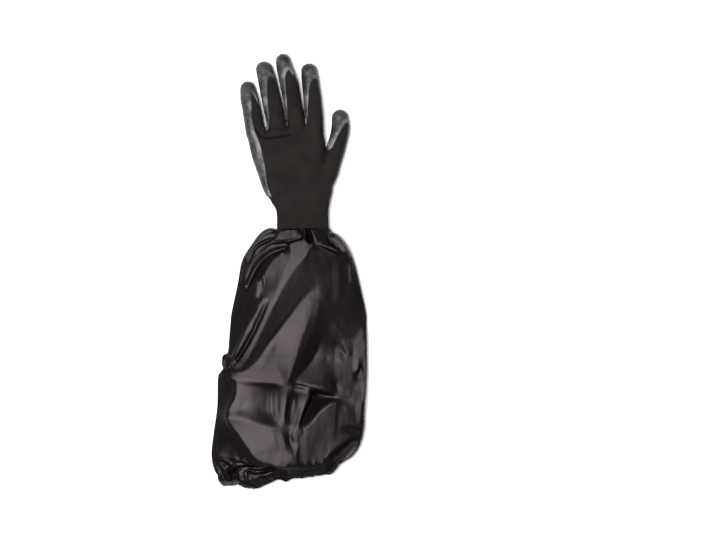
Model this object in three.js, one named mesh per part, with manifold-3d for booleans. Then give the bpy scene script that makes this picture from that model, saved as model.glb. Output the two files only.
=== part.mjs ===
// A snow chain glove for the left hand, lying palm down on a flat surface.
// A knitted liner is dipped in crinkled rubber on its palm side and at its fingertips, a ribbed
// cuff grips the wrist, and a long loose satin sleeve, gathered on elastic at both ends, is sewn
// round the cuff to keep the coat dry. All the cloth pieces are open hollow walls.
// Millimetres. +Y runs along the glove towards the fingertips, +X to the thumb's side, +Z up.
import * as THREE from "three";
import { mergeVertices } from "three/addons/utils/BufferGeometryUtils.js";
import Module from "manifold-3d";

const wasm = await Module();
wasm.setup();

// Driving dimensions
const KNIT_WALL = 1.2;
const DIP_WALL = 1.0;
const SATIN_WALL = 1.2;
const GAP = 0.3; // clearance between pieces that touch on the real glove
const WRIST_Y = 89; // where the hand's knit turns into the ribbed cuff
const CUFF_END_Y = 38.6; // the cuff's hidden end, sewn in where the casing meets the sleeve
const DIP_END_Y = 95; // the dip stops just short of the cuff
const DIP_BORDER_Z = 12.5; // height of the dip's border where it runs along a finger's side
const WRIST_HEM_Y = 53.5; // the wrist casing's edge nearest the fingers
const SLEEVE_TOP_Y = 38; // the line of stitching where casing and sleeve meet
const SLEEVE_END_Y = -263; // the line of stitching where the sleeve meets the elbow casing
const ELBOW_HEM = 11.5; // how deep the elbow casing is
const CASING_WALL = 2; // two layers of satin with the elastic between them
const SECTION_POWER = 2.6; // how square the palm's and the cuff's sections are, where 2 is an ellipse

// The fingers, with a row for every section from inside the palm to the centre of the tip's dome.
// On the back of the hand the knit shows up to bare short of the fingertip, where its arch has
// its point beside the finger's middle, and its left border runs edge from the middle.
const FINGERS = [
  {
    name: "little",
    bare: 20,
    point: 2.5,
    edge: 0.5,
    rows: [
      { x: -34, y: 152, z: 14, wide: 16, thick: 11 },
      { x: -41.5, y: 174, z: 14.3, wide: 22.5, thick: 19 },
      { x: -44.6, y: 190, z: 14.5, wide: 23.4, thick: 17.5 },
      { x: -47.8, y: 208, z: 14, wide: 23, thick: 16.5 },
      { x: -51.6, y: 225, z: 11.8, wide: 20.5, thick: 15.5 },
      { x: -53.8, y: 237.5, z: 8.9, wide: 17.5, thick: 15 },
    ],
  },
  {
    name: "ring",
    bare: 20,
    point: 3.5,
    edge: -2,
    rows: [
      { x: -12, y: 152, z: 15, wide: 17, thick: 13 },
      { x: -13.6, y: 174, z: 15.4, wide: 24.5, thick: 21.5 },
      { x: -15.4, y: 190, z: 15.7, wide: 23.4, thick: 18.5 },
      { x: -20.3, y: 213, z: 15.5, wide: 23.2, thick: 17.5 },
      { x: -25.9, y: 238, z: 13, wide: 22.6, thick: 16.5 },
      { x: -31.5, y: 260, z: 9.1, wide: 20, thick: 15.5 },
    ],
  },
  {
    name: "middle",
    bare: 23,
    point: 3.5,
    edge: -4.5,
    rows: [
      { x: 12, y: 152, z: 15, wide: 17, thick: 13 },
      { x: 11.4, y: 174, z: 15.7, wide: 23, thick: 21.8 },
      { x: 10.4, y: 190, z: 16, wide: 21.4, thick: 19 },
      { x: 6.5, y: 213, z: 16.3, wide: 21.4, thick: 17.5 },
      { x: 1.8, y: 238, z: 14.6, wide: 21.6, thick: 17 },
      { x: -4.5, y: 261, z: 11.2, wide: 19.5, thick: 16 },
      { x: -7.6, y: 273.5, z: 9, wide: 17.5, thick: 15.4 },
    ],
  },
  {
    name: "index",
    bare: 19,
    point: 4.5,
    edge: -3,
    rows: [
      { x: 33, y: 152, z: 15, wide: 15, thick: 13 },
      { x: 33.6, y: 174, z: 15.3, wide: 21, thick: 20.5 },
      { x: 33.8, y: 190, z: 15.5, wide: 19.4, thick: 18 },
      { x: 31.6, y: 213, z: 15.3, wide: 20, thick: 17 },
      { x: 29.5, y: 236, z: 13, wide: 20.8, thick: 16.5 },
      { x: 27.3, y: 257.5, z: 9.1, wide: 18.5, thick: 15.6 },
    ],
  },
  {
    name: "thumb",
    bare: 22,
    point: 9,
    edge: -2.5,
    rows: [
      { x: 25, y: 104, z: 14.5, wide: 34, thick: 15 },
      { x: 44.5, y: 123, z: 14.2, wide: 31.5, thick: 21.5 },
      { x: 55.5, y: 146, z: 13.5, wide: 23.5, thick: 19.5 },
      { x: 62.5, y: 165, z: 12.3, wide: 20.5, thick: 18 },
      { x: 66.8, y: 184, z: 10.6, wide: 20.6, thick: 17 },
      { x: 66.6, y: 199.5, z: 9.1, wide: 18.5, thick: 15.5 },
    ],
  },
];

// The palm's knit, with a row for each section from the wrist to the knuckles
const PALM = [
  { y: WRIST_Y, left: -21.5, right: 52, bottom: 3, top: 26 },
  { y: 104, left: -31.5, right: 57.5, bottom: 1.8, top: 27 },
  { y: 125, left: -38.5, right: 54, bottom: 1.3, top: 27.6 },
  { y: 146, left: -46, right: 48, bottom: 1.3, top: 27.5 },
  { y: 166, left: -50.5, right: 46.5, bottom: 2, top: 26.4 },
  { y: 179, left: -51.5, right: 43, bottom: 4, top: 24.5 },
  { y: 185, left: -44, right: 36, bottom: 8, top: 21 },
];

// The ribbed cuff, from the hand to its hidden end
const CUFF = [
  { y: WRIST_Y - GAP, left: -21.5, right: 52, bottom: 3, top: 26 },
  { y: 80, left: -16.8, right: 51.2, bottom: 2.8, top: 24.8 },
  { y: 70, left: -15.2, right: 51, bottom: 2.6, top: 24 },
  { y: WRIST_HEM_Y, left: -15.2, right: 51.4, bottom: 2.6, top: 24 },
  { y: CUFF_END_Y, left: -15.2, right: 51.4, bottom: 2.6, top: 24 },
];

// The sleeve's sections from the wrist casing to the elbow casing. side is the height at which
// the cloth turns round at the edges, puffLeft and puffRight are how far the edges puff out
// towards the fingers, lean is how much further the right edge lies that way than the middle,
// and pull is how far the upper layer does at the left, where the mouth stands open.
const SLEEVE = [
  { y: 38, left: -20, right: 56.2, top: 28, side: 13.4, puffLeft: 11, puffRight: 7, lean: 0, pull: 0 },
  { y: 36, left: -22.5, right: 58.5, top: 29, side: 14, puffLeft: 15, puffRight: 10, lean: 0, pull: 0 },
  { y: 32, left: -33, right: 66, top: 33, side: 15, puffLeft: 20, puffRight: 15, lean: 0, pull: 0 },
  { y: 24, left: -47, right: 75, top: 37, side: 16, puffLeft: 12, puffRight: 8, lean: 0, pull: 0 },
  { y: 8, left: -60, right: 84, top: 39, side: 16, puffLeft: 7, puffRight: 5, lean: 0, pull: 0 },
  { y: -20, left: -67, right: 92.5, top: 40, side: 16, puffLeft: 0, puffRight: 0, lean: 0, pull: 0 },
  { y: -55, left: -74.5, right: 100.3, top: 41, side: 16, puffLeft: 0, puffRight: 0, lean: 0, pull: 0 },
  { y: -92, left: -78, right: 101.2, top: 41, side: 15, puffLeft: 0, puffRight: 0, lean: 0, pull: 0 },
  { y: -122, left: -84, right: 101.2, top: 39, side: 14, puffLeft: 0, puffRight: 0, lean: -2, pull: 0 },
  { y: -148, left: -92.5, right: 100, top: 37, side: 14, puffLeft: 0, puffRight: 0, lean: -7, pull: 0 },
  { y: -180, left: -93.5, right: 98, top: 38, side: 14, puffLeft: 0, puffRight: 0, lean: -2, pull: 0 },
  { y: -210, left: -98, right: 97, top: 37, side: 14, puffLeft: 0, puffRight: 0, lean: 2, pull: 4 },
  { y: -236, left: -101, right: 91, top: 35, side: 13, puffLeft: 0, puffRight: 0, lean: 6, pull: 12 },
  { y: -254, left: -98, right: 79, top: 30, side: 12, puffLeft: 0, puffRight: 0, lean: 8, pull: 22 },
  { y: SLEEVE_END_Y, left: -89, right: 66, top: 26, side: 11, puffLeft: 0, puffRight: 0, lean: 9, pull: 28 },
];

// The elbow casing's sections, which go on from the sleeve's last one and draw in a little
const SLEEVE_END = SLEEVE[SLEEVE.length - 1];
const ELBOW = [
  { ...SLEEVE_END, y: SLEEVE_END_Y - 2 * GAP },
  { ...SLEEVE_END, y: SLEEVE_END_Y - 6, left: -87, right: 63, pull: 30 },
  { ...SLEEVE_END, y: SLEEVE_END_Y - ELBOW_HEM, left: -82, right: 58, top: 23, side: 10, pull: 31 },
];

// The sleeve's main folds in its upper layer: a straight crest or hollow from one place to
// another, so wide at its foot, and so high or, below zero, so deep.
const FOLDS = [
  { name: "band below the wrist", x1: 20, y1: 30, x2: -60, y2: -130, wide: 44, high: 9 },
  { name: "hollow beside the band", x1: 46, y1: 16, x2: -38, y2: -140, wide: 46, high: -9 },
  { name: "crest of the big facet", x1: 40, y1: -18, x2: 0, y2: -138, wide: 56, high: 12 },
  { name: "hollow right of the facet", x1: 44, y1: -70, x2: 28, y2: -150, wide: 44, high: -12 },
  { name: "pressed crease", x1: -72, y1: -140, x2: 98, y2: -168, wide: 46, high: -6 },
  { name: "crest below the crease", x1: 27, y1: -170, x2: 8, y2: -245, wide: 46, high: 10 },
  { name: "hollow at the left", x1: -80, y1: -172, x2: -44, y2: -240, wide: 44, high: -9 },
  { name: "fan at the right", x1: 66, y1: -176, x2: 46, y2: -245, wide: 40, high: 7 },
  { name: "hollow at the right corner", x1: 92, y1: -215, x2: 44, y2: -246, wide: 36, high: -8 },
  { name: "dent at the right side", x1: 56, y1: -52, x2: 86, y2: -90, wide: 46, high: -7 },
  { name: "dent at the left shoulder", x1: -50, y1: -20, x2: -24, y2: 14, wide: 40, high: -8 },
];

// The ruffles that the elastic draws up, which die out over their reach
const WRIST_GATHERS = { count: 12, high: 1.2, reach: 24 };
const ELBOW_GATHERS = { count: 16, high: 1.1, reach: 20 };

// A row between the rows of a table, on a smooth curve through each column
function rowAt(rows, share) {
  const columns = Object.keys(rows[0]);
  const place = THREE.MathUtils.clamp(share, 0, 1);
  return Object.fromEntries(
    columns.map((column) => {
      const curve = new THREE.SplineCurve(rows.map((row, i) => new THREE.Vector2(i, row[column])));
      return [column, curve.getPoint(place).y];
    }),
  );
}

// A unit circle's point pulled out towards the corners of its square
function squared(x, z) {
  const bend = (v) => Math.sign(v) * Math.abs(v) ** (2 / SECTION_POWER);
  return [bend(x), bend(z)];
}

// A manifold solid from a three.js geometry
function solid(geometry) {
  const bare = geometry.clone();
  bare.deleteAttribute("normal");
  bare.deleteAttribute("uv");
  const merged = mergeVertices(bare, 1e-4);
  return new wasm.Manifold(
    new wasm.Mesh({
      numProp: 3,
      vertProperties: merged.attributes.position.array,
      triVerts: new Uint32Array(merged.index.array),
    }),
  );
}

// A solid from a three.js cylinder: place(x, z, ring) gives the point for a place on the unit
// circle of a ring, and the rings run from the cylinder's foot to its top.
function loft(sides, rings, place) {
  const geometry = new THREE.CylinderGeometry(1, 1, 1, sides, rings - 1);
  const position = geometry.attributes.position;
  for (let i = 0; i < position.count; i++) {
    const ring = Math.round((position.getY(i) + 0.5) * (rings - 1));
    const [x, z] = [position.getX(i), position.getZ(i)].map((v) => Math.round(v * 1e6) / 1e6);
    position.setXYZ(i, ...place(x, z, ring).toArray());
  }
  return solid(geometry);
}

// The smooth line through the middle of a finger
function middleLine(rows) {
  return new THREE.CatmullRomCurve3(rows.map(({ x, y, z }) => new THREE.Vector3(x, y, z)));
}

// One finger, grown or shrunk all over by offset, from its foot inside the palm to a domed tip
function finger({ rows }, offset, sides = 10) {
  const domeTurns = [0, 32, 58, 78].map(THREE.MathUtils.degToRad);
  const last = rows.length - 1;
  const middle = middleLine(rows);
  const domeRadius = rows[last].wide / 2 + offset;
  return loft(sides, rows.length + domeTurns.length - 1, (x, z, ring) => {
    const row = rows[Math.min(ring, last)];
    const domeTurn = domeTurns[Math.max(ring - last, 0)];
    const share = Math.min(ring / last, 1);
    const forward = middle.getTangent(share);
    const right = new THREE.Vector3().crossVectors(forward, new THREE.Vector3(0, 0, 1)).normalize();
    const up = new THREE.Vector3().crossVectors(right, forward);
    const shrink = Math.cos(domeTurn);
    return middle
      .getPoint(share)
      .addScaledVector(forward, ring === 0 ? -offset : domeRadius * Math.sin(domeTurn))
      .addScaledVector(right, x * shrink * (row.wide / 2 + offset))
      .addScaledVector(up, z * shrink * (row.thick / 2 + offset));
  });
}

// The palm, grown or shrunk all over by offset, and run on past the wrist by extra
function palm(offset, extra, sides = 22) {
  return loft(sides, PALM.length, (x, z, ring) => {
    const row = PALM[ring];
    const [sx, sz] = squared(x, z);
    const shift = ring === 0 ? -extra : ring === PALM.length - 1 ? offset : 0;
    return new THREE.Vector3(
      (row.left + row.right) / 2 + sx * ((row.right - row.left) / 2 + offset),
      row.y + shift,
      (row.bottom + row.top) / 2 + sz * ((row.top - row.bottom) / 2 + offset),
    );
  });
}

// The whole hand as one solid, grown or shrunk by offset
function hand(offset, extra) {
  return FINGERS.map((f) => finger(f, offset)).reduce((sum, f) => sum.add(f), palm(offset, extra));
}

// A prism that stands on a height over a flat outline
function prism(outline, low, high) {
  const shape = new THREE.Shape(outline);
  const geometry = new THREE.ExtrudeGeometry(shape, { depth: high - low, bevelEnabled: false });
  return solid(geometry.translate(0, 0, low));
}

// The outline, seen from above, of the bare knit on the back of a finger: a pointed arch, which
// has spread to its full width at spread from its point, and takes in the finger's right side
function arch({ rows, bare, point, edge }) {
  const spread = 24;
  const middle = middleLine(rows);
  const pointShare = 1 - (bare - rows[rows.length - 1].wide / 2) / middle.getLength();
  const sides = [0, 2, 6, 12, 20, 34, 52, 72].map((back) => {
    const share = middle.getUtoTmapping(pointShare - back / middle.getLength());
    const forward = middle.getTangent(share);
    const across = new THREE.Vector2(forward.y, -forward.x).normalize();
    const { x, y, wide } = rowAt(rows, share);
    const opened = Math.min(back / spread, 1) ** 0.6;
    return [edge, wide / 2 + DIP_WALL + 2 * GAP].map((border) =>
      new THREE.Vector2(x, y).addScaledVector(across, THREE.MathUtils.lerp(point, border, opened)),
    );
  });
  const left = sides.map(([l]) => l);
  const right = sides.slice(1).map(([, r]) => r);
  return [...left, ...right.reverse()];
}

// Everything that isn't dipped: the back of the hand, an arch on each finger, and the wrist
function bareRegion() {
  const high = 60;
  const back = [
    [-22, DIP_END_Y - 10],
    [-27, 109],
    [-31, 132],
    [-37, 172],
    [-44, 184],
    [-44, 196],
    [-28, 184],
    [-2, 190],
    [24, 191],
    [50, 196],
    [50, 160],
    [62, 152],
    [80, 160],
    [80, DIP_END_Y - 10],
  ].map(([x, y]) => new THREE.Vector2(x, y));
  const wrist = new THREE.BoxGeometry(300, 100, high).translate(0, DIP_END_Y - 50, 0);
  return FINGERS.map((f) => prism(arch(f), DIP_BORDER_Z, high)).reduce(
    (sum, f) => sum.add(f),
    prism(back, DIP_BORDER_Z, high).add(solid(wrist)),
  );
}

// An open tube of cloth, from a three.js lathe. outside(turn, share) gives its outer face for a
// turn round it and a share of its length, and wall(turn, share) how far in its inner face lies.
// Its facets are smaller on top than underneath, and their columns can run round it by a twist.
function tube(around, along, outside, wall, twist = 0) {
  const shares = Array.from({ length: along }, (_, i) => i / (along - 1));
  const profile = [...shares.map((s) => [s, 0]), ...shares.toReversed().map((s) => [s, 1])];
  profile.push(profile[0]);
  const geometry = new THREE.LatheGeometry(
    profile.map(([share, inner]) => new THREE.Vector2(2 - inner, share)),
    around,
  );
  const position = geometry.attributes.position;
  const step = 1e-3;
  for (let i = 0; i < position.count; i++) {
    const [share, inner] = profile[i % profile.length];
    const even = (2 * Math.PI * (Math.floor(i / profile.length) % around)) / around + twist * share;
    const turn = even + 0.3 * Math.cos(even);
    const round = outside(turn + step, share).sub(outside(turn - step, share));
    const length = outside(turn, Math.min(share + step, 1)).sub(outside(turn, Math.max(share - step, 0)));
    const inward = new THREE.Vector3().crossVectors(length, round).normalize();
    const point = outside(turn, share).addScaledVector(inward, inner * wall(turn, share));
    position.setXYZ(i, ...point.toArray());
  }
  return solid(geometry);
}

// A place on the cuff's outer face, or so far outside it
function cuffPoint(row, turn, outer = 0) {
  const [sx, sz] = squared(Math.cos(turn), Math.sin(turn));
  return new THREE.Vector3(
    (row.left + row.right) / 2 + sx * ((row.right - row.left) / 2 + outer),
    row.y,
    (row.bottom + row.top) / 2 + sz * ((row.top - row.bottom) / 2 + outer),
  );
}

// The wrist casing lies round the cuff, thickest at its ruffles and at the middle of its depth
function wristCasing() {
  const row = CUFF[CUFF.length - 1];
  const wall = (turn, share) =>
    CASING_WALL * (0.6 + 0.4 * Math.sin(Math.PI * share)) + 0.4 * (1 + Math.cos(WRIST_GATHERS.count * turn));
  const outside = (turn, share) => {
    const point = cuffPoint(row, turn, GAP + wall(turn, share));
    point.y = THREE.MathUtils.lerp(WRIST_HEM_Y, SLEEVE_TOP_Y + GAP, share);
    point.y += (1 - share) * Math.cos(WRIST_GATHERS.count * turn + 1);
    point.z = Math.max(point.z, 0);
    return point;
  };
  return tube(48, 3, outside, (turn, share) => Math.min(wall(turn, share), 2));
}

// A section of the sleeve: its edges at side height, a domed upper layer and a flat lower layer
function sleevePoint(row, turn, swell) {
  const c = Math.cos(turn);
  const s = Math.sin(turn);
  const x = (row.left + row.right) / 2 + c * ((row.right - row.left) / 2 + swell);
  const upper = row.side + (row.top - row.side + swell) * Math.abs(s) ** 0.85;
  const lower = row.side - (row.side * 1.2 + swell) * Math.abs(s) ** 0.45;
  const puff = (c < 0 ? row.puffLeft : row.puffRight) * Math.abs(c) ** (s > 0 ? 2 : 8);
  const pull = s > 0 ? row.pull * s ** 0.7 * THREE.MathUtils.smoothstep(-c, -0.35, 0.6) : 0;
  const y = row.y + puff + row.lean * c + pull;
  return new THREE.Vector3(x, y, s > 0 ? upper : Math.max(lower, 0));
}

// How high the main folds stand at a place on the sleeve's upper layer
function foldsAt(x, y) {
  const place = new THREE.Vector2(x, y);
  return FOLDS.reduce((sum, { x1, y1, x2, y2, wide, high }) => {
    const start = new THREE.Vector2(x1, y1);
    const run = new THREE.Vector2(x2, y2).sub(start);
    const share = place.clone().sub(start).dot(run) / run.lengthSq();
    const foot = start.addScaledVector(run, THREE.MathUtils.clamp(share, 0, 1));
    return sum + high * (1 - THREE.MathUtils.smoothstep(place.distanceTo(foot), 0, wide / 2));
  }, 0);
}

// How far the ruffles stand out at a turn round the tube and a distance from the elastic
function ruffle({ count, high, reach }, turn, distance) {
  return high * (1 + Math.cos(count * turn)) * Math.exp(-Math.max(distance, 0) / reach);
}

function sleeveOutside(turn, share) {
  const row = rowAt(SLEEVE, share);
  const fromWrist = SLEEVE_TOP_Y - row.y;
  const fromElbow = row.y - SLEEVE_END_Y;
  const swell = ruffle(WRIST_GATHERS, turn, fromWrist) + ruffle(ELBOW_GATHERS, turn, fromElbow);
  const point = sleevePoint(row, turn, swell);
  const inside = THREE.MathUtils.smoothstep(fromWrist, 0, 20) * THREE.MathUtils.smoothstep(fromElbow, 0, 14);
  point.z += foldsAt(point.x, point.y) * inside * Math.max(Math.sin(turn), 0) ** 0.6;
  return point;
}

// The elbow casing, with the sleeve's ruffles drawn tighter
function elbowCasing() {
  const outside = (turn, share) => {
    const row = rowAt(ELBOW, share);
    const swell = ruffle(ELBOW_GATHERS, turn, 0) * (1 + 0.4 * share);
    const point = sleevePoint(row, turn, swell);
    point.y += share * 1.2 * Math.cos(ELBOW_GATHERS.count * turn + 1);
    return point;
  };
  return tube(64, 3, outside, () => CASING_WALL);
}

const cloth = { roughness: 0.85, metalness: 0 };
const knit = new THREE.MeshStandardMaterial({ color: 0x1b1a1a, ...cloth });
const rib = new THREE.MeshStandardMaterial({ color: 0x181717, ...cloth });
const rubber = new THREE.MeshStandardMaterial({ color: 0x36373a, roughness: 0.5, metalness: 0 });
const satin = new THREE.MeshStandardMaterial({ color: 0x231f20, roughness: 0.38, metalness: 0 });

const pieces = {
  knit_hand: [hand(0, 0).subtract(hand(-KNIT_WALL, 5)), knit],
  palm_dip: [hand(GAP + DIP_WALL, 0).subtract(hand(GAP, 5)).subtract(bareRegion()), rubber],
  rib_cuff: [tube(32, 4, (turn, share) => cuffPoint(rowAt(CUFF, share), turn), () => KNIT_WALL), rib],
  wrist_casing: [wristCasing(), satin],
  sleeve: [tube(46, 23, sleeveOutside, () => SATIN_WALL, 2), satin],
  elbow_casing: [elbowCasing(), satin],
};

const glove = new THREE.Group();
for (const [name, [manifold, material]] of Object.entries(pieces)) {
  glove.add(meshOf(name, manifold, material));
}

// A named three.js mesh from a manifold solid
function meshOf(name, manifold, material) {
  const { vertProperties, triVerts } = manifold.getMesh();
  const geometry = new THREE.BufferGeometry();
  geometry.setAttribute("position", new THREE.BufferAttribute(vertProperties, 3));
  geometry.setIndex(new THREE.BufferAttribute(triVerts, 1));
  geometry.computeVertexNormals();
  const mesh = new THREE.Mesh(geometry, material);
  mesh.name = name;
  return mesh;
}

// The origin is under the middle of the glove, on the surface that it lies on
const box = new THREE.Box3().setFromObject(glove);
const middle = box.getCenter(new THREE.Vector3());
glove.position.set(-middle.x, -middle.y, -box.min.z);

export default glove;
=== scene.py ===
# A snow chain glove for the left hand, lying palm down. A knitted liner is dipped in crinkled
# rubber, a ribbed cuff grips the wrist, and a long loose satin sleeve is gathered on elastic at
# both ends. Metres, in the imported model's frame.
import math

import bpy
import numpy as np
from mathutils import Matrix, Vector, noise


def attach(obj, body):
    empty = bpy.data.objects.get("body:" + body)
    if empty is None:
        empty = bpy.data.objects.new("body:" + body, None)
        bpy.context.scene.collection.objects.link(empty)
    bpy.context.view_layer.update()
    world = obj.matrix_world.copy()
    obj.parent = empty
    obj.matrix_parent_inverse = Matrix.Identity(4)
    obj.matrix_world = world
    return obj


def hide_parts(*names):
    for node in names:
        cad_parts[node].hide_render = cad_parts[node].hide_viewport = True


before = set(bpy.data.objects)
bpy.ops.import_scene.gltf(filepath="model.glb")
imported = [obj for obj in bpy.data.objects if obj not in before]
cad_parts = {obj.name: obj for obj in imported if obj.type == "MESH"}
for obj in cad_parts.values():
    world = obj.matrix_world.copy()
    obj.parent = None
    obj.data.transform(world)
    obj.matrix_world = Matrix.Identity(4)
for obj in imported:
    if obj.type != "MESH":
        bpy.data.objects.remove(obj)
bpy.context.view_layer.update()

# The knitted hand
# It is knitted in one piece, fingers and palm, from fine black nylon, and has no seams. It is
# built in millimetres as six overlapping bodies, a finger or the palm each, that are merged.
MM = 0.001
ORIGIN = (-0.053, 0.555, 0)  # from the glove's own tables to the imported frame
WRIST_Y = 89  # where the hand ends and the cuff begins
KNIT_WALL = 1.2
KNIT_BELLY = 1.3  # how far the knit's underside stays over the table, for the dip's thickness
KNIT_FULLNESS = 0.65  # what is added all round for the knit's thickness
SQUARENESS = 2.6  # of the palm's and the cuff's sections, where 2 is an ellipse
SKIN_STEP = 1.4  # the size of the merged skin's faces

# x, y and z of the middle, width and thickness, from inside the palm to the tip's dome
FINGERS = {
    "little": [
        (-34, 152, 14, 16, 11),
        (-41.5, 174, 14.3, 22.5, 19),
        (-44.6, 190, 14.5, 23.4, 17.5),
        (-47.8, 208, 14, 23, 16.5),
        (-51.6, 225, 11.8, 20.5, 15.5),
        (-53.8, 237.5, 8.9, 17.5, 15),
    ],
    "ring": [
        (-12, 152, 15, 17, 13),
        (-13.6, 174, 15.4, 24.5, 21.5),
        (-15.4, 190, 15.7, 24, 18.5),
        (-20.3, 213, 15.5, 24, 17.5),
        (-25.9, 238, 13, 22.6, 16.5),
        (-32.2, 262.4, 9.1, 20, 15.5),
    ],
    "middle": [
        (12, 152, 15, 17, 13),
        (11.4, 174, 15.7, 23, 21.8),
        (10.4, 190, 16, 22.4, 19),
        (6.5, 213, 16.3, 22, 17.5),
        (1.8, 238, 14.6, 21.6, 17),
        (-4.5, 261, 11.2, 19.5, 16),
        (-7.6, 273.5, 9, 17.5, 15.4),
    ],
    "index": [
        (33, 152, 15, 15, 13),
        (33.6, 174, 15.3, 21, 20.5),
        (33.8, 190, 15.5, 20.8, 18),
        (31.6, 213, 15.3, 20.8, 17),
        (29.5, 236, 13, 20.8, 16.5),
        (26.4, 260, 9.1, 18.5, 15.6),
    ],
    "thumb": [
        (22, 98, 14.5, 40, 15),
        (43, 119.5, 14.2, 34.5, 21.5),
        (56.2, 146, 13.5, 24.5, 19.5),
        (63.2, 165, 12.3, 21.4, 18),
        (67.4, 184, 10.6, 21.6, 17),
        (67, 199.5, 9.1, 18.8, 15.5),
    ],
}

# x, y and z of the middle, width and thickness, from the wrist to the fingers' roots
PALM = [
    (15.2, 78, 14.5, 73.4, 23),
    (15.2, 89, 14.5, 73.5, 23),
    (12.4, 104, 14.4, 87.6, 25.2),
    (7.8, 125, 14.5, 92.5, 26.3),
    (1, 146, 14.4, 94, 26.2),
    (-2, 166, 14.2, 97, 24.4),
    (-4.2, 179, 14.2, 94.5, 20.5),
    (-4, 185, 14.5, 80, 13),
]


def along_curve(rows, count):
    """Even steps on a smooth curve through every column of a table."""
    table = np.array(rows, float)
    last = len(table) - 1
    place = np.linspace(0, last, count)
    index = np.minimum(place.astype(int), last - 1)
    t = (place - index)[:, None]
    before, here = table[np.maximum(index - 1, 0)], table[index]
    there, after = table[index + 1], table[np.minimum(index + 2, last)]
    return 0.5 * (
        2 * here
        + (there - before) * t
        + (2 * before - 5 * here + 4 * there - after) * t**2
        + (3 * here - before - 3 * there + after) * t**3
    )


def smoothstep(value, low, high):
    """A soft step from nothing at low to one at high."""
    t = np.clip((value - low) / (high - low), 0, 1)
    return t * t * (3 - 2 * t)


def swept(name, sides, rings, square=2.0, ends="NGON"):
    """A body extruded from ring to ring, where a ring is (x, y, z, width, thickness, yaw)."""
    bpy.ops.object.select_all(action="DESELECT")
    upright = (math.pi / 2, 0, 0)
    bpy.ops.mesh.primitive_circle_add(vertices=sides, radius=1, fill_type=ends, rotation=upright)
    bpy.ops.object.transform_apply(location=True, rotation=True, scale=True)
    body = bpy.context.object
    body.name = name
    x, y, z, width, thickness, yaw = rings[0]
    for vertex in body.data.vertices:
        across, up = (math.copysign(abs(v) ** (2 / square), v) for v in (vertex.co.x, vertex.co.z))
        across *= width / 2
        place = (x + across * math.cos(yaw), y + across * math.sin(yaw), z + up * thickness / 2)
        vertex.co = Vector(place) * MM
    bpy.ops.object.mode_set(mode="EDIT")
    bpy.ops.mesh.select_mode(type="VERT")
    bpy.ops.mesh.select_all(action="SELECT")
    for here, there in zip(rings, rings[1:]):
        centre = Vector(there[:3]) * MM
        step = centre - Vector(here[:3]) * MM
        bpy.ops.mesh.extrude_region_move(TRANSFORM_OT_translate={"value": step})
        bpy.ops.transform.rotate(value=here[5] - there[5], orient_axis="Z", center_override=centre)
        wider, thicker = there[3] / here[3], there[4] / here[4]
        bpy.ops.transform.resize(value=(wider, wider, thicker), center_override=centre)
    bpy.ops.object.mode_set(mode="OBJECT")
    return body


def finger_rings(rows):
    """The rings of a finger, and of the dome at its tip."""
    line = along_curve(rows, 15)
    run = np.gradient(line[:, :3], axis=0)
    yaw = -np.arctan2(run[:, 0], run[:, 1])
    rings = [(*row, turn) for row, turn in zip(line, yaw)]
    x, y, z, width, thickness = line[-1]
    forward = run[-1] / np.linalg.norm(run[-1])
    for turn in np.radians([18, 36, 52, 66, 78, 86]):
        tip = np.array([x, y, z]) + forward * math.sin(turn) * width / 2
        rings.append((*tip, width * math.cos(turn), thickness * math.cos(turn), yaw[-1]))
    return rings


def select_only(piece):
    """Selects one piece and makes it the active one."""
    bpy.ops.object.select_all(action="DESELECT")
    bpy.context.view_layer.objects.active = piece
    piece.select_set(True)


def apply_modifiers(piece):
    """Makes the piece's mesh what its modifiers show."""
    select_only(piece)
    for modifier in [m.name for m in piece.modifiers]:
        bpy.ops.object.modifier_apply(modifier=modifier)


def points_of(piece):
    """The piece's vertices and their normals, in millimetres from the table's origin."""
    count = len(piece.data.vertices)
    points, normals = np.empty(count * 3), np.empty(count * 3)
    piece.data.vertices.foreach_get("co", points)
    piece.data.vertices.foreach_get("normal", normals)
    return points.reshape(-1, 3) / MM, normals.reshape(-1, 3)


def set_points(piece, points):
    """Moves the piece's vertices to places in millimetres."""
    piece.data.vertices.foreach_set("co", np.ascontiguousarray(points * MM).ravel())
    piece.data.update()


def face_outwards(piece):
    """Turns an open tube's faces outwards."""
    bpy.ops.object.mode_set(mode="EDIT")
    bpy.ops.mesh.select_all(action="SELECT")
    bpy.ops.mesh.normals_make_consistent(inside=False)
    bpy.ops.object.mode_set(mode="OBJECT")
    points, normals = points_of(piece)
    if ((points - points.mean(axis=0)) * normals)[:, 2].sum() < 0:
        bpy.ops.object.mode_set(mode="EDIT")
        bpy.ops.mesh.flip_normals()
        bpy.ops.object.mode_set(mode="OBJECT")


def to_frame(piece):
    """Moves a mesh from the table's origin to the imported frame's."""
    points, _ = points_of(piece)
    set_points(piece, points + ORIGIN)


def path_distance(x, y, path):
    """How far each place is from a path on the table."""
    best = np.full(x.shape, 1e9)
    for (x1, y1), (x2, y2) in zip(path, path[1:]):
        run_x, run_y = x2 - x1, y2 - y1
        share = ((x - x1) * run_x + (y - y1) * run_y) / max(run_x**2 + run_y**2, 1e-9)
        share = np.clip(share, 0, 1)
        best = np.minimum(best, np.hypot(x - x1 - share * run_x, y - y1 - share * run_y))
    return best


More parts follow.
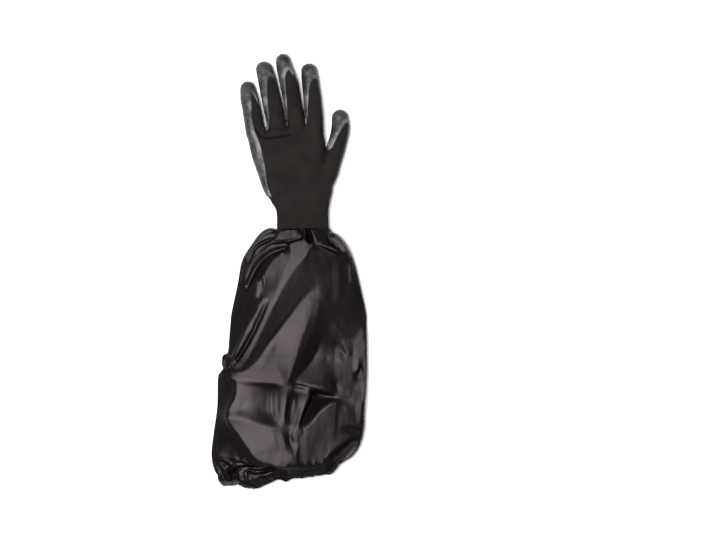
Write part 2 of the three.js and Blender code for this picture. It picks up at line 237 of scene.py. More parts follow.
blanks = [swept(f"blank_{name}", 24, finger_rings(rows)) for name, rows in FINGERS.items()]
palm_rings = [(*row, 0) for row in along_curve(PALM, 26)]
hand = swept("hand", 48, palm_rings, square=SQUARENESS)
select_only(hand)
for blank in blanks:
    blank.select_set(True)
bpy.ops.object.join()
bpy.ops.object.mode_set(mode="EDIT")
bpy.ops.mesh.select_all(action="SELECT")
bpy.ops.mesh.normals_make_consistent(inside=False)
bpy.ops.object.mode_set(mode="OBJECT")
remesh = hand.modifiers.new("one skin", "REMESH")
remesh.mode = "VOXEL"
remesh.voxel_size = SKIN_STEP * MM
soften = hand.modifiers.new("soften", "SMOOTH")
soften.factor = 0.5
soften.iterations = 8
apply_modifiers(hand)

# The creases of the knit: across below the little and ring fingers, at the thumb's root and
# in the webs between the fingers. Each is a path, how wide, and how deep.
CREASES = [
    ([(-44, 185), (-37, 174.5), (-29.5, 171), (-20, 171.6), (-11, 173.2), (1.3, 175.4)], 3.4, 1.2),
    ([(-29.6, 182), (-20, 184.4), (-11, 183.6), (-2.4, 182)], 3, 0.6),
    ([(-0.8, 194), (-0.8, 186)], 3.4, 0.8),
    ([(23.7, 198), (23.4, 191)], 3.4, 0.8),
    ([(-28.4, 184), (-29.4, 178)], 3.4, 0.8),
    ([(50, 157), (47, 150), (46, 140)], 6, 0.8),
    ([(-16, 92), (-10, 100), (-2, 104)], 6, 0.4),
]


def with_creases(points, normals):
    """The skin drawn in along its creases, and how deep each point was drawn in."""
    x, y = points[:, 0], points[:, 1]
    depth = np.zeros(len(points))
    for path, wide, deep in CREASES:
        on_crease = 1 - smoothstep(path_distance(x, y, path), 0, wide)
        depth = np.maximum(depth, on_crease * deep * (normals[:, 2] > 0.2))
    return points - normals * depth[:, None], depth


def with_swells(points, normals, size, height, seed):
    """Soft uneven swells of the cloth, so wide and so high."""
    swell = [noise.noise(Vector(p) / size + Vector((seed, 0, 0))) for p in points]
    return points + normals * (np.array(swell) * height)[:, None]


skin, skin_normals = points_of(hand)
skin, crease_depth = with_creases(skin, skin_normals)
past_wrist = smoothstep(skin[:, 1], WRIST_Y + 1, WRIST_Y + 11)[:, None]
swollen = with_swells(skin, skin_normals, size=22, height=0.7, seed=3)
skin = skin + (swollen - skin) * past_wrist + skin_normals * KNIT_FULLNESS
skin[:, 2] = np.maximum(skin[:, 2], KNIT_BELLY)
set_points(hand, skin)

# The dip's border, seen from above: what lies inside it is bare knit
BARE = [
    (-18, 88), (-23.5, 100), (-27, 109.5), (-28.4, 120), (-29.6, 130), (-31.4, 141), (-34, 152.5),
    (-36.6, 163), (-40.4, 173), (-44.6, 184.5), (-46.8, 195), (-47.8, 205), (-48, 216), (-48, 225),
    (-46.4, 229), (-43.6, 225), (-39, 216), (-33, 208), (-30, 196), (-29.4, 187), (-28, 181),
    (-25.6, 186), (-24.6, 196), (-25.8, 208), (-26.9, 220), (-27.4, 231), (-27.4, 240),
    (-26.9, 247), (-25.2, 250.8), (-22.8, 252), (-20, 250.4), (-16, 244), (-12.6, 236),
    (-9.6, 227), (-7, 213), (-4.6, 200), (-3.2, 192), (-2.2, 187.5), (-0.8, 193), (-0.8, 207),
    (-1.6, 217), (-2.8, 232), (-3.9, 247), (-2.9, 256), (0.4, 260.4), (3, 258), (6.8, 252),
    (10.9, 243.8), (14.6, 234), (17.4, 224), (20, 212), (21.8, 200), (22, 193), (22.6, 189),
    (24.2, 193), (25.2, 201), (25.8, 215), (26.4, 228), (27.6, 237), (30.6, 246.6),
    (33.7, 249.6), (37.6, 248), (40.4, 242.4), (43, 234), (45, 218), (46, 200), (48, 180),
    (49.6, 164), (50.4, 156.6), (54, 157), (57.6, 160.6), (61, 168), (66, 178), (72.2, 188),
    (76.4, 192.4), (82, 190), (82, 170), (76, 150), (68, 128), (62, 100), (58, 80), (-20, 80),
]
BORDER_Z = 12.5  # the border's height round the sides of the fingers
DIP_END_Y = 95
DIP_SINK = 0.7  # how far the knit is drawn in under the dip


def polygon_depth(x, y, outline):
    """How far inside an outline on the table each place is, below zero where it is outside."""
    closed = [*outline, outline[0]]
    inside = np.zeros(x.shape, bool)
    for (x1, y1), (x2, y2) in zip(closed, closed[1:]):
        if y1 != y2:
            crosses = (y1 > y) != (y2 > y)
            inside ^= crosses & (x < x1 + (x2 - x1) * (y - y1) / (y2 - y1))
    return np.where(inside, 1, -1) * path_distance(x, y, closed)


border = [tuple(p) for p in along_curve([*BARE, BARE[0]], 4 * len(BARE))]
bare = polygon_depth(skin[:, 0], skin[:, 1], border)
bare = np.minimum(bare, skin[:, 2] - BORDER_Z)
bare = np.maximum(bare, DIP_END_Y - skin[:, 1])

select_only(hand)
bpy.ops.object.duplicate()
dip = bpy.context.object
dip.name = "rubber_dip"

set_points(hand, skin - skin_normals * (DIP_SINK * smoothstep(-bare, 1.2, 3))[:, None])


def cut_at_wrist(piece):
    """Opens the hand at the wrist."""
    select_only(piece)
    bpy.ops.object.mode_set(mode="EDIT")
    bpy.ops.mesh.select_all(action="SELECT")
    bpy.ops.mesh.bisect(plane_co=(0, WRIST_Y * MM, 0), plane_no=(0, 1, 0), clear_inner=True)
    bpy.ops.object.mode_set(mode="OBJECT")


def add_wall(piece, thickness):
    """Gives a skin its thickness, inwards from its outer face."""
    wall = piece.modifiers.new("wall", "SOLIDIFY")
    wall.thickness = thickness * MM
    wall.offset = -1
    apply_modifiers(piece)


def finish_piece(piece, material):
    """Smooth shading, the material, and the ride on the glove's one body."""
    to_frame(piece)
    piece.data.materials.clear()
    piece.data.materials.append(material)
    select_only(piece)
    bpy.ops.object.shade_smooth()
    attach(piece, "root")


def keep_value(piece, name, values):
    """Stores a value for each vertex, for the piece's material."""
    piece.data.attributes.new(name, "FLOAT", "POINT").data.foreach_set("value", values)


# Each point keeps how deep its crease is. The knit's material uses this to paint shade into the
# creases.
keep_value(hand, "crease", crease_depth)
cut_at_wrist(hand)
add_wall(hand, KNIT_WALL)


def new_material(name):
    """A material, its node tree and its shader."""
    material = bpy.data.materials.new(name)
    material.use_nodes = True
    return material, material.node_tree, material.node_tree.nodes["Principled BSDF"]


def effect(name, vectors, values, results):
    """An empty shader node group, with its inputs and the values that it puts out."""
    group = bpy.data.node_groups.new(name, "ShaderNodeTree")
    for kind, labels in (("NodeSocketVector", vectors), ("NodeSocketFloat", values)):
        for label in labels:
            group.interface.new_socket(label, in_out="INPUT", socket_type=kind)
    for label in results:
        group.interface.new_socket(label, in_out="OUTPUT", socket_type="NodeSocketFloat")
    return group, group.nodes.new("NodeGroupInput"), group.nodes.new("NodeGroupOutput")


def plug(tree, socket, value):
    """Feeds an input from another node's output, or gives it a plain value."""
    if isinstance(value, bpy.types.NodeSocket):
        tree.links.new(value, socket)
    else:
        socket.default_value = value


def feed(tree, node, **values):
    """Feeds a node's inputs by their names, with _ for a space."""
    for label, value in values.items():
        plug(tree, node.inputs[label.replace("_", " ")], value)
    return node


def fed(tree, kind, **values):
    """A new node with its inputs fed."""
    return feed(tree, tree.nodes.new(kind), **values)


def place_effect(tree, group, **values):
    """One use of a shared effect, with its inputs fed."""
    node = tree.nodes.new("ShaderNodeGroup")
    node.node_tree = group
    return feed(tree, node, **values)


def math_node(tree, operation, *values):
    """What a Math node makes of one or two values."""
    node = tree.nodes.new("ShaderNodeMath")
    node.operation = operation
    for socket, value in zip(node.inputs, values):
        plug(tree, socket, value)
    return node.outputs[0]


def ranged(tree, value, start, end, low=0.0, high=1.0, curve="LINEAR"):
    """A value's range from start to end, spread from low to high."""
    bounds = {"From_Min": start, "From_Max": end, "To_Min": low, "To_Max": high}
    node = fed(tree, "ShaderNodeMapRange", Value=value, **bounds)
    node.interpolation_type = curve
    return node.outputs["Result"]


def mixed(tree, kind, share, first, second):
    """A mix of two colours or two vectors."""
    mix = tree.nodes.new("ShaderNodeMix")
    mix.data_type = kind
    return feed(tree, mix, Factor=share, A=first, B=second).outputs["Result"]


def patches(tree, place, scale, detail=3.0, low=0.35, high=0.65):
    """Uneven patches between 0 and 1 over the surface."""
    cloud = fed(tree, "ShaderNodeTexNoise", Vector=place, Scale=scale, Detail=detail)
    return ranged(tree, cloud.outputs["Fac"], low, high)


def kept_value(tree, name):
    """A value that the mesh keeps for each vertex."""
    attribute = tree.nodes.new("ShaderNodeAttribute")
    attribute.attribute_name = name
    return attribute.outputs["Fac"]


def bumped(tree, height, distance, strength, **under):
    """The normal of a surface that a height raises, over another bump's Normal if one is given."""
    bump = fed(tree, "ShaderNodeBump", Height=height, Distance=distance, Strength=strength, **under)
    return bump.outputs["Normal"]


def yarn_effect():
    """Columns of knitted loops, as a height."""
    counts = ["Columns per metre", "Rows per metre"]
    group, given, result = effect("knitted_loops", ["Vector"], counts, ["Height"])
    split = fed(group, "ShaderNodeSeparateXYZ", Vector=given.outputs["Vector"])
    turn = 2 * math.pi
    across, upward = (
        math_node(group, "MULTIPLY", split.outputs[axis], given.outputs[count])
        for axis, count in enumerate(counts)
    )
    column = math_node(group, "COSINE", math_node(group, "MULTIPLY", across, turn))
    slant = math_node(group, "MULTIPLY", math_node(group, "ABSOLUTE", column), 0.25)
    row = math_node(group, "MULTIPLY", math_node(group, "ADD", upward, slant), turn)
    column_share = math_node(group, "MULTIPLY", column, 0.6)
    row_share = math_node(group, "MULTIPLY", math_node(group, "COSINE", row), 0.4)
    plug(group, result.inputs["Height"], math_node(group, "ADD", column_share, row_share))
    return group


loops = yarn_effect()


def knit_material(name, dark, light, columns, rows, depth):
    """Matt black yarn in loops, cloudy between two colours, with painted shade in its creases."""
    material, tree, shader = new_material(name)
    place = tree.nodes.new("ShaderNodeTexCoord").outputs["Object"]
    counts = {"Columns_per_metre": columns, "Rows_per_metre": rows}
    knit = place_effect(tree, loops, Vector=place, **counts)
    cloudy = mixed(tree, "RGBA", patches(tree, place, 45), dark, light)
    # Painted shade: the yarn is darkened to a quarter of its colour in the creases, more the deeper
    # the crease.
    crease_shade_colour = (*(0.25 * part for part in dark[:3]), 1)
    feed(
        tree,
        shader,
        Base_Color=mixed(tree, "RGBA", kept_value(tree, "crease"), cloudy, crease_shade_colour),
        Roughness=0.92,
        Specular_IOR_Level=0.18,
        Normal=bumped(tree, knit.outputs["Height"], 0.0003, depth),
    )
    return material


DARK_KNIT, LIGHT_KNIT = (0.0098, 0.0073, 0.0068, 1), (0.0146, 0.0114, 0.0106, 1)
knit = knit_material("black_knit", DARK_KNIT, LIGHT_KNIT, columns=600, rows=820, depth=0.6)
finish_piece(hand, knit)
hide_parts("knit_hand")

# The rubber dip
# The palm and the fingertips were dipped in dark grey rubber that crinkled as it cured. It
# wraps round the fingers' sides and leaves a pointed arch of bare knit on each finger's back.
DIP_WALL = 0.5
DIP_OVERLAP = 1.4  # how far the dip's skin runs on past its border, sunk into the knit
DIP_SLOPE = 0.55  # how steeply it rises from under the knit at its border
DIP_LOWEST, DIP_HIGHEST = -0.35, 1  # its face against the knit's, past the border and inside
DIP_CRINKLES = [(5, 0.35, 11), (2.6, 0.25, 17)]  # how wide, how high, seed
points, normals = points_of(dip)
inside = -bare
thickest = 0.5 + 0.65 * smoothstep(-points[:, 2], -11, -4)  # thicker under the hand
stand = np.minimum(np.clip(DIP_SLOPE * inside, DIP_LOWEST, DIP_HIGHEST), thickest)
points = points + normals * stand[:, None]
deep_inside = smoothstep(inside, 0.5, 4)[:, None]
for crinkle in DIP_CRINKLES:
    points = points + (with_swells(points, normals, *crinkle) - points) * deep_inside
points[:, 2] = np.maximum(points[:, 2], 0.05)
set_points(dip, points)
keep_value(dip, "bare", bare)

select_only(dip)
for polygon in dip.data.polygons:
    polygon.select = all(bare[i] > DIP_OVERLAP for i in polygon.vertices)
for part in [*dip.data.vertices, *dip.data.edges]:
    part.select = False
bpy.ops.object.mode_set(mode="EDIT")
bpy.ops.mesh.select_mode(type="FACE")
bpy.ops.mesh.delete(type="FACE")
bpy.ops.object.mode_set(mode="OBJECT")
add_wall(dip, DIP_WALL)

DARK_RUBBER, PALE_RUBBER = (0.013, 0.013, 0.0145, 1), (0.05, 0.0495, 0.053, 1)
PAINTED_EDGE_HIGHLIGHT = (0.15, 0.15, 0.155, 1)  # painted highlight: pale streaks just inside the border, where the dip's edge catches the light
rubber, tree, shader = new_material("crinkled_rubber")
place = tree.nodes.new("ShaderNodeTexCoord").outputs["Object"]
mottled = mixed(tree, "RGBA", patches(tree, place, 90, detail=6), DARK_RUBBER, PALE_RUBBER)
# Painted highlight: pale streaks 2.5 to 7 mm inside the dip's border, broken up by patches.
by_border = ranged(tree, kept_value(tree, "bare"), -7, -2.5, curve="SMOOTHSTEP")
uneven = patches(tree, place, 38, detail=2, low=0.5, high=0.62)
streaks = math_node(tree, "MULTIPLY", by_border, uneven)
warp = fed(tree, "ShaderNodeTexNoise", Vector=place, Scale=160)
warped = mixed(tree, "VECTOR", 0.01, place, warp.outputs["Color"])
cells = tree.nodes.new("ShaderNodeTexVoronoi")
cells.feature = "SMOOTH_F1"
feed(tree, cells, Vector=warped, Scale=420, Smoothness=0.6)
feed(
    tree,
    shader,
    Base_Color=mixed(tree, "RGBA", streaks, mottled, PAINTED_EDGE_HIGHLIGHT),
    Roughness=ranged(tree, patches(tree, place, 180), 0, 1, 0.42, 0.6),
    Specular_IOR_Level=0.42,
    Normal=bumped(tree, cells.outputs["Distance"], 0.0006, 0.55),
)
finish_piece(dip, rubber)
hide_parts("palm_dip")

# The ribbed cuff
# Knitted on from the hand with elastic yarn, in ribs that run along the arm. Its hidden end is
# stitched in where the sleeve's casing meets the sleeve.
CUFF = [
    # x, y and z of the middle, width, thickness, yaw
    (15.2, 89.6, 14.5, 75, 24.4, 0),
    (15.4, 87.6, 14.4, 74.2, 23.8, 0),
    (17.2, 80, 13.8, 68, 22, 0),
    (17.9, 70, 13.3, 66.2, 21.4, 0),
    (18.1, 53.5, 13.3, 66.6, 21.4, 0),
    (18.1, 39, 13.3, 66.6, 21.4, 0),
]
CUFF_WALL = 1.0
RIBS = 72
RIB_DEPTH = 0.28
ring_size = RIBS * 6  # six points to a rib
cuff_rings = [tuple(row) for row in along_curve(CUFF, 22)]
cuff = swept("ribbed_cuff", ring_size, cuff_rings, square=SQUARENESS, ends="NOTHING")
points, _ = points_of(cuff)
turn = np.arange(len(points)) % ring_size * 2 * math.pi / ring_size
middle = points.reshape(-1, ring_size, 3).mean(axis=1).repeat(ring_size, axis=0)
outward = points - middle
outward /= np.linalg.norm(outward, axis=1)[:, None]
points += outward * (RIB_DEPTH * (np.cos(RIBS * turn) - 1))[:, None]
set_points(cuff, points)
face_outwards(cuff)
add_wall(cuff, CUFF_WALL)
DARK_RIB, LIGHT_RIB = (0.009, 0.0066, 0.006, 1), (0.013, 0.01, 0.0092, 1)
ribbing = knit_material("black_ribbing", DARK_RIB, LIGHT_RIB, columns=900, rows=1000, depth=0.4)
finish_piece(cuff, ribbing)
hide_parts("rib_cuff")

# The sleeve
# A wide tube of thin black satin, cut flat and closed by one side seam, that lies collapsed
# with pressed and slack folds. Elastic gathers it at the wrist and at the elbow.
SLEEVE_SECTIONS = [
    # y, left and right edge, the edges' heights, how far each edge bulges towards the hand, how
    # far the right edge leads the left, how far the upper layer is drawn back at the mouth
    (38, -16.5, 54, 14, 14, 16, 11.5, 0, 0),
    (36, -25, 60, 14, 14, 19, 12.5, 0, 0),
    (32, -36, 67, 14, 14, 17, 11, 0, 0),
    (24, -47.5, 75, 12, 14, 10.5, 8, 0, 0),
    (8, -60.5, 84, 11, 13, 5, 5, 0, 0),
    (-20, -67, 92.5, 10, 12, 0, 0, 0, 0),
    (-55, -74.5, 100.3, 10, 9.4, 0, 0, 0, 0),
    (-72, -76.3, 100.9, 10, 9.4, 0, 0, 0, 0),
    (-92, -78, 101.2, 10, 13.6, 0, 0, 0, 0),
    (-108, -79.6, 101.2, 10, 14, 0, 0, -1, 0),
    (-113, -85, 101.2, 22.6, 14, 0, 0, -1.5, 0),
    (-124, -86, 101.2, 23.4, 14.4, 0, 0, -2, 0),
    (-131, -84.6, 101.2, 21, 14.6, 0, 0, -4, 0),
    (-138, -89, 100.6, 10, 14.8, 0, 0, -5, 0),
    (-148, -92.5, 100, 9, 16, 0, 0, -7, 0),
    (-180, -93.5, 98, 8, 16.4, 0, 0, -2, 0),
    (-210, -98, 97, 8, 14, 0, 0, 2, 4),
    (-236, -101, 91, 8, 13, 0, 0, 6, 12),
    (-254, -97, 79, 9, 12, 0, 0, 8, 22),
    (-263, -91, 66, 9, 9, 0, 0, 9, 28),
]
SLEEVE_FINE = along_curve(SLEEVE_SECTIONS, 600)

# The folds of the upper layer, each a line of (x, y, height over the table). The cloth spans
# between the lines as a stretched skin does.
FOLDS = [
    # the broad band that runs down to the left from the wrist: its upper left edge, its right
    # edge, and the paler cloth to the left of it
    [(3, 33, 37.9), (4, 20, 38.8), (1.5, 12, 39.1), (-1.5, 4, 39.5), (-5, -4, 39.8),
     (-7, -12, 40.2), (-11, -20, 40.5), (-15, -28, 40.9)],
    [(28, 31, 39.6), (25, 21, 40.2), (17, 12, 40.4), (10, 4, 40.4), (4.5, -4, 40.5),
     (-0.5, -12, 40.7), (-5, -20, 40.9), (-9.5, -28, 41.2), (-13.5, -36, 41.5), (-17.5, -44, 41.7),
     (-21, -52, 41.3), (-25, -60, 40.8), (-28.5, -68, 40.2), (-32.5, -76, 39.6), (-36.6, -84, 39),
     (-40.5, -92, 38.5), (-44.5, -100, 37.8), (-48.5, -108, 37), (-53, -116, 35.8),
     (-58, -122, 34.4), (-62, -128, 33)],
    [(-6, 24, 36.2), (-14, 17, 35), (-21, 10, 34.2), (-27, 2, 33.8), (-30, -5, 34)],
    # along the band: its right ridge, the groove, and the left ridge's crest and outer edge
    [(-19, -36, 40.8), (-23.4, -44, 41), (-27.4, -52, 40.7), (-30.8, -60, 40.2), (-34.4, -68, 39.6),
     (-38.6, -76, 39), (-42.6, -84, 38.4), (-46.8, -92, 37.8), (-51.4, -100, 37),
     (-56.4, -108, 36.2), (-61, -116, 34.8), (-65.6, -123, 33.4), (-69, -128, 32.4)],
    [(-24.4, -38, 39.8), (-28, -44, 38.6), (-32, -52, 37.4), (-35.6, -60, 36.4), (-39.8, -68, 35.4),
     (-42.8, -76, 34.6), (-47.2, -84, 33.4), (-51.6, -92, 32.2), (-56.2, -100, 31.2),
     (-61.2, -108, 30), (-66.4, -116, 28.8)],
    [(-27.6, -37, 39.8), (-31.2, -44, 39.5), (-35, -52, 39), (-39, -60, 38.4), (-43.2, -68, 37.8),
     (-46, -76, 37.8), (-50.8, -84, 37.1), (-55, -92, 36.4), (-59.6, -100, 35.6),
     (-64.6, -108, 34.4), (-70, -117, 31.6), (-74, -125, 29.6)],
    [(-32, -35, 39.2), (-37.4, -44, 38.8), (-41, -52, 38.4), (-45.6, -60, 37.8), (-51.2, -68, 37),
     (-55, -76, 37), (-58.6, -84, 36.4), (-62.6, -92, 35.6), (-65.8, -100, 34.8), (-70, -108, 33.6),
     (-75, -118, 29.6), (-77.4, -127, 28)],
    # the small pucker at the left edge
    [(-84, -115, 23.8), (-83.6, -128, 23.8)],
    [(-79.6, -114, 24.7), (-79.8, -128, 24.9)],
    # the dark slope along the left edge, up to the ridge's foot
    [(-41, -44, 31.6), (-45, -52, 29), (-49, -60, 26), (-54.6, -68, 23.4), (-58.4, -76, 22),
     (-62, -84, 20.4), (-66, -92, 18.6), (-69.4, -100, 17), (-73.6, -109, 15.4)],
    [(-56, -26, 23), (-59, -40, 20.6), (-63, -56, 18.4), (-68, -76, 15.8)],
    # the dark facet below the band: its foot, and the border where the big facet begins
    [(26, -24, 32.6), (17.6, -34, 33.8), (10.6, -42, 34.6), (4.8, -50, 35), (-1.4, -58, 35.3),
     (-7.6, -66, 35.5), (-13.6, -74, 35.5), (-19.6, -82, 35.4), (-26, -90, 35.1),
     (-31.4, -98, 34.8), (-37, -106, 34.4), (-43, -114, 33.9), (-50.4, -122, 33)],
    [(30, -28, 31), (21.5, -36, 32), (14.3, -44, 32.7), (8.5, -52, 33.2), (2.3, -60, 33.5),
     (-4, -68, 33.7), (-10, -76, 33.7), (-16, -84, 33.6), (-22.3, -92, 33.4), (-27.5, -100, 33.2),
     (-33, -108, 32.9), (-39, -116, 32.5), (-46.5, -124, 32), (-53, -129, 31.6), (-64, -133, 31.2)],
    # the big facet: its faint dip, its crest, and the fall to the right of the crest
    [(-20, -96, 34.2), (-26, -108, 33.9), (-29, -116, 33.6), (-33, -124, 33.2), (-36, -132, 32.9),
     (-34, -140, 33)],
    [(-14, -96, 33.8), (-16, -108, 33), (-16, -118, 32.6), (-13, -128, 32.3), (-10, -136, 32.6),
     (-9, -145, 32.8)],
    [(28, -36, 32.6), (25.6, -44, 33.2), (24, -52, 33.9), (22.6, -60, 34.4), (20, -68, 34.9),
     (17, -76, 35.3), (13, -84, 35.6), (9.6, -92, 35.7), (8, -100, 35.8), (6.4, -108, 35.9),
     (4.2, -116, 35.9), (2.6, -124, 35.7), (1, -132, 35.3), (0, -140, 34.6), (0, -147, 33.6)],
    [(34, -38, 32), (31, -44, 33), (29.4, -52, 33.6), (27.6, -60, 34), (25, -68, 34.6),
     (22.6, -76, 35.1), (19, -84, 35.5), (16, -92, 35.6), (14, -100, 35.7), (12, -108, 35.8),
     (10, -116, 35.8), (8, -124, 35.5), (5.8, -132, 35.1), (3.4, -140, 34.4)],
    [(41, -44, 31.2), (38, -52, 31.8), (35.6, -60, 32), (34, -68, 32), (32, -76, 32),
     (29.6, -84, 32.2), (25.6, -92, 32.8), (22, -100, 33), (18.6, -108, 33), (15.4, -116, 33),
     (12, -124, 32.8), (8.8, -132, 32.2), (5.6, -140, 31.8)],
    [(52, -44, 27.6), (49, -60, 27), (46, -76, 26), (44, -84, 24.6), (42, -92, 22.4),
     (39, -100, 20.8), (36, -108, 20.6), (32, -116, 21.4), (26, -124, 23.4), (19, -132, 26.4),
     (12, -140, 29.4)],
    [(64, -61, 22), (57, -76, 23), (54, -92, 20.6), (52, -100, 18.8), (52, -108, 18.4),
     (50, -116, 18.8), (48, -124, 21), (47, -132, 23.2), (46, -140, 25.8)],
    # to the right of it: the slack streaks, the dark V and its lower border
    [(33, 26, 37.6), (45, 22, 34.2), (49, 12, 31.8), (51, 0, 29.8), (53, -14, 28), (54, -28, 26.8),
     (53, -38, 26.4)],
    [(36, -22, 31), (42, -30, 30.2), (48, -38, 28.6)],
    [(57, 10, 29), (57.6, -10, 27), (58, -26, 25.6), (58, -38, 24.8)],
    [(65, 10, 27.2), (65.6, -10, 25.4), (66, -26, 24), (66, -40, 22.8)],
    [(74, 10, 24), (74.6, -8, 22.2), (75, -24, 21), (76, -40, 19.8)],
    [(77.6, 11, 23), (78, -4, 21.2), (78.8, -16, 20.2)],
    [(82.2, 9, 22.6), (82.8, -4, 20.8), (83.6, -16, 19.8)],
    [(86, -26, 17.4), (88, -42, 15.6)],
    [(64, -61, 22), (70, -70, 19.8), (76, -79, 18), (84, -87, 15.8), (92, -82, 14),
     (97.4, -73, 12.2)],
    [(58, -70, 23), (62, -75, 22.2), (67, -81, 20.6), (73, -86.6, 18.8), (80, -90.6, 17),
     (87, -92, 16.2), (95, -87, 15.2), (98.6, -79, 14.2)],
    [(60, -92, 19.4), (60, -100, 17), (61, -108, 16.6), (61, -116, 17.3), (60, -124, 18.8),
     (60, -132, 19.8), (60, -140, 21), (58, -147, 23)],
    [(64, -96, 16.8), (68, -103, 15.8), (72, -109, 15.4)],
    [(72, -94, 18.4), (75, -102, 17.9), (79, -110, 17.4)],
    [(66, -116, 18), (72, -117, 17.4), (78, -120, 16.8)],
    [(84, -96, 16.3), (84, -108, 15.7), (84, -118, 15.9), (84, -132, 16.4), (84, -142, 17.2)],
    [(91, -94, 16), (91.4, -108, 15.8), (91, -124, 16.8), (90, -132, 17.4)],
    [(97, -92, 15.4), (97.6, -108, 15.4), (97.6, -121, 14.6), (97, -136, 14), (96.4, -147, 15.6),
     (95.4, -165, 17)],
    [(96.4, -126, 12.4), (92.6, -133, 12.2), (88.6, -141, 14.2)],
    # the pressed crease across the sleeve: its upper lip, its lower lip, the undercut at its middle
    [(-76, -139, 29), (-70, -142, 30.8), (-62, -144, 31.8), (-48, -145.6, 32.8), (-34, -147, 33),
     (-20, -148.4, 32.8), (-8, -149.4, 33), (0, -149.6, 32.8)],
    [(-68, -144, 30.8), (-62, -145.8, 31.5), (-48, -147.4, 31.8), (-34, -148.8, 31),
     (-26, -149.8, 30.3), (-20, -150.2, 30), (-13, -151, 31.4), (-8, -151.4, 32.4),
     (0, -151.6, 32.9), (6, -152.4, 32.5)],
    [(13, -146.8, 30.4), (24, -148.8, 30.6), (32, -150, 30.4), (40, -150.6, 29.8),
     (48, -150.6, 28.6)],
    [(6, -148.2, 30.8), (13, -149.4, 28), (20, -151, 27.8), (28, -152.6, 28.8), (36, -154, 29)],
    [(8, -152.4, 30.6), (16, -153.2, 30.4), (26, -154.4, 30.4), (40, -156.4, 29.2),
     (52, -158.6, 27.6), (60, -160.8, 22.8), (72, -163.2, 20.6), (86, -166.6, 18.6),
     (95, -168.8, 17.4)],
    [(56, -147, 24.4), (57, -154, 25)],
    [(62, -147, 20), (63, -156, 20.4)],
    [(69.6, -149, 19.6), (71, -158, 20.6)],
    [(78, -151, 18.4), (79, -160, 19.6)],
    [(86, -152, 16.8), (88, -160, 18)],
    [(36, -158.6, 14), (44, -160.6, 14.6), (52, -162.6, 16), (58, -164.8, 18), (64, -166.6, 21),
     (72, -168, 20), (80, -169.4, 18.8)],
    # below the crease: the cloth steps down to the right in soft folds
    [(-67, -147, 31.2), (-68, -164, 32.4), (-73, -172, 32.8), (-78, -181, 33.4)],
    [(-48, -150, 31.6), (-49, -164, 31.7), (-54, -172, 32), (-61, -181, 32.8)],
    [(-34, -151.4, 30.5), (-34, -164, 29.4), (-34, -182, 30.4)],
    [(-28, -152.4, 29.6), (-28, -164, 28.2), (-27, -182, 29), (-25, -193, 32.4)],
    [(-21, -153, 28.8), (-21, -164, 27.1), (-20.6, -182, 28.2), (-19, -194, 32)],
    [(-17.8, -153, 29.8), (-17.6, -164, 28.3), (-17.4, -180, 29.3), (-16.4, -195, 32.8)],
    [(-12.6, -153, 30.7), (-12.6, -164, 29.2), (-12.8, -180, 30.2), (-12.2, -195, 33.3)],
    [(-8, -154, 32), (-8, -164, 31.2), (-8.8, -180, 31.8), (-8.6, -196, 34)],
    [(-1, -155.4, 32.8), (-1.2, -164, 32.2), (-3.2, -180, 32.7), (-4.4, -196, 34.3)],
    [(4, -158, 31.8), (3.4, -166, 27.6), (2.4, -174, 27.4), (0.2, -182, 28.4), (-1.8, -190, 31)],
    [(8, -157, 31.2), (7.6, -165, 25.8), (7.4, -174, 26.2), (5, -184, 27), (2.6, -196, 30)],
    [(13, -157, 31), (12.8, -166, 28.6), (13, -178, 28.8), (11, -190, 30), (8, -200, 31.6)],
    # the sharp crest in the middle, the black hollow at its foot and the hollow's far border
    [(20, -156.8, 30.4), (28, -160.6, 30.4), (28.4, -166, 29.6), (24.6, -174, 30), (20.4, -183, 31),
     (17, -192, 32), (13.6, -200, 33), (8.8, -210, 34.2), (6.8, -218, 34.4)],
    [(32.4, -161, 4), (32, -166, 6.4), (28, -174, 11), (24, -182, 15.8), (20.6, -190, 20.4),
     (18, -197, 24.6)],
    [(61, -169.4, 25), (54, -172.6, 26.6), (44, -180, 28), (37, -188, 29.2), (31, -196, 30.4),
     (22, -203.6, 32)],
    # the big pale facet at the lower left: its upper line, its middle and its long border
    [(-80, -189, 35), (-66, -190.4, 36.2), (-54, -192.6, 36.6), (-40, -197.4, 36.8),
     (-28, -201, 36.6), (-20, -203, 36.4), (-12, -204.6, 35.6), (-4, -206, 33.8),
     (3, -207.6, 31.8)],
    [(-80, -189, 35), (-77, -196, 35), (-72, -204, 35.6), (-65, -212, 36.4), (-59.4, -220, 37.2),
     (-53, -228, 38), (-47.4, -236, 38.6), (-38, -244, 39.4), (-26, -249, 39.8),
     (-14, -252.6, 39.8), (0, -254.6, 39)],
    [(-20, -212, 37.2), (-18, -222, 37.9), (-14, -229, 38)],
    [(-34, -232, 39), (-20, -235, 38.2), (-9, -237, 37.6), (1, -238, 37.8)],
    [(-7, -212, 36), (-5, -220, 36.4), (-2, -227, 36.6)],
    [(2, -213, 32), (3, -220, 32.2), (4.6, -227, 33.4)],
    [(2, -231, 35.8), (7, -232, 35)],
    [(5, -238, 37.6), (7, -247, 37.6), (6, -254, 37)],
    [(-84.6, -190, 23), (-82, -198, 23.6), (-77, -206.6, 25), (-70.4, -214.8, 27),
     (-64.8, -223, 28.6), (-58.2, -231, 30), (-52.6, -239, 31), (-43, -247.4, 32.6)],
    [(-90, -192, 15), (-91, -208, 14.6), (-92, -222, 14), (-91, -232, 14)],
    [(-76, -222, 21.6), (-70, -234, 23.6), (-58, -242, 27)],
    [(-76, -149, 20), (-78, -162, 19.6), (-83, -176, 19)],
    # the first gather over the elastic, at the lower left
    [(-98, -238, 13), (-91, -240.6, 16.6), (-81, -242.6, 19.6), (-70, -245, 22.6),
     (-60, -248, 25.6), (-50, -250.6, 28.6), (-42, -252.6, 31), (-32, -255.4, 34)],
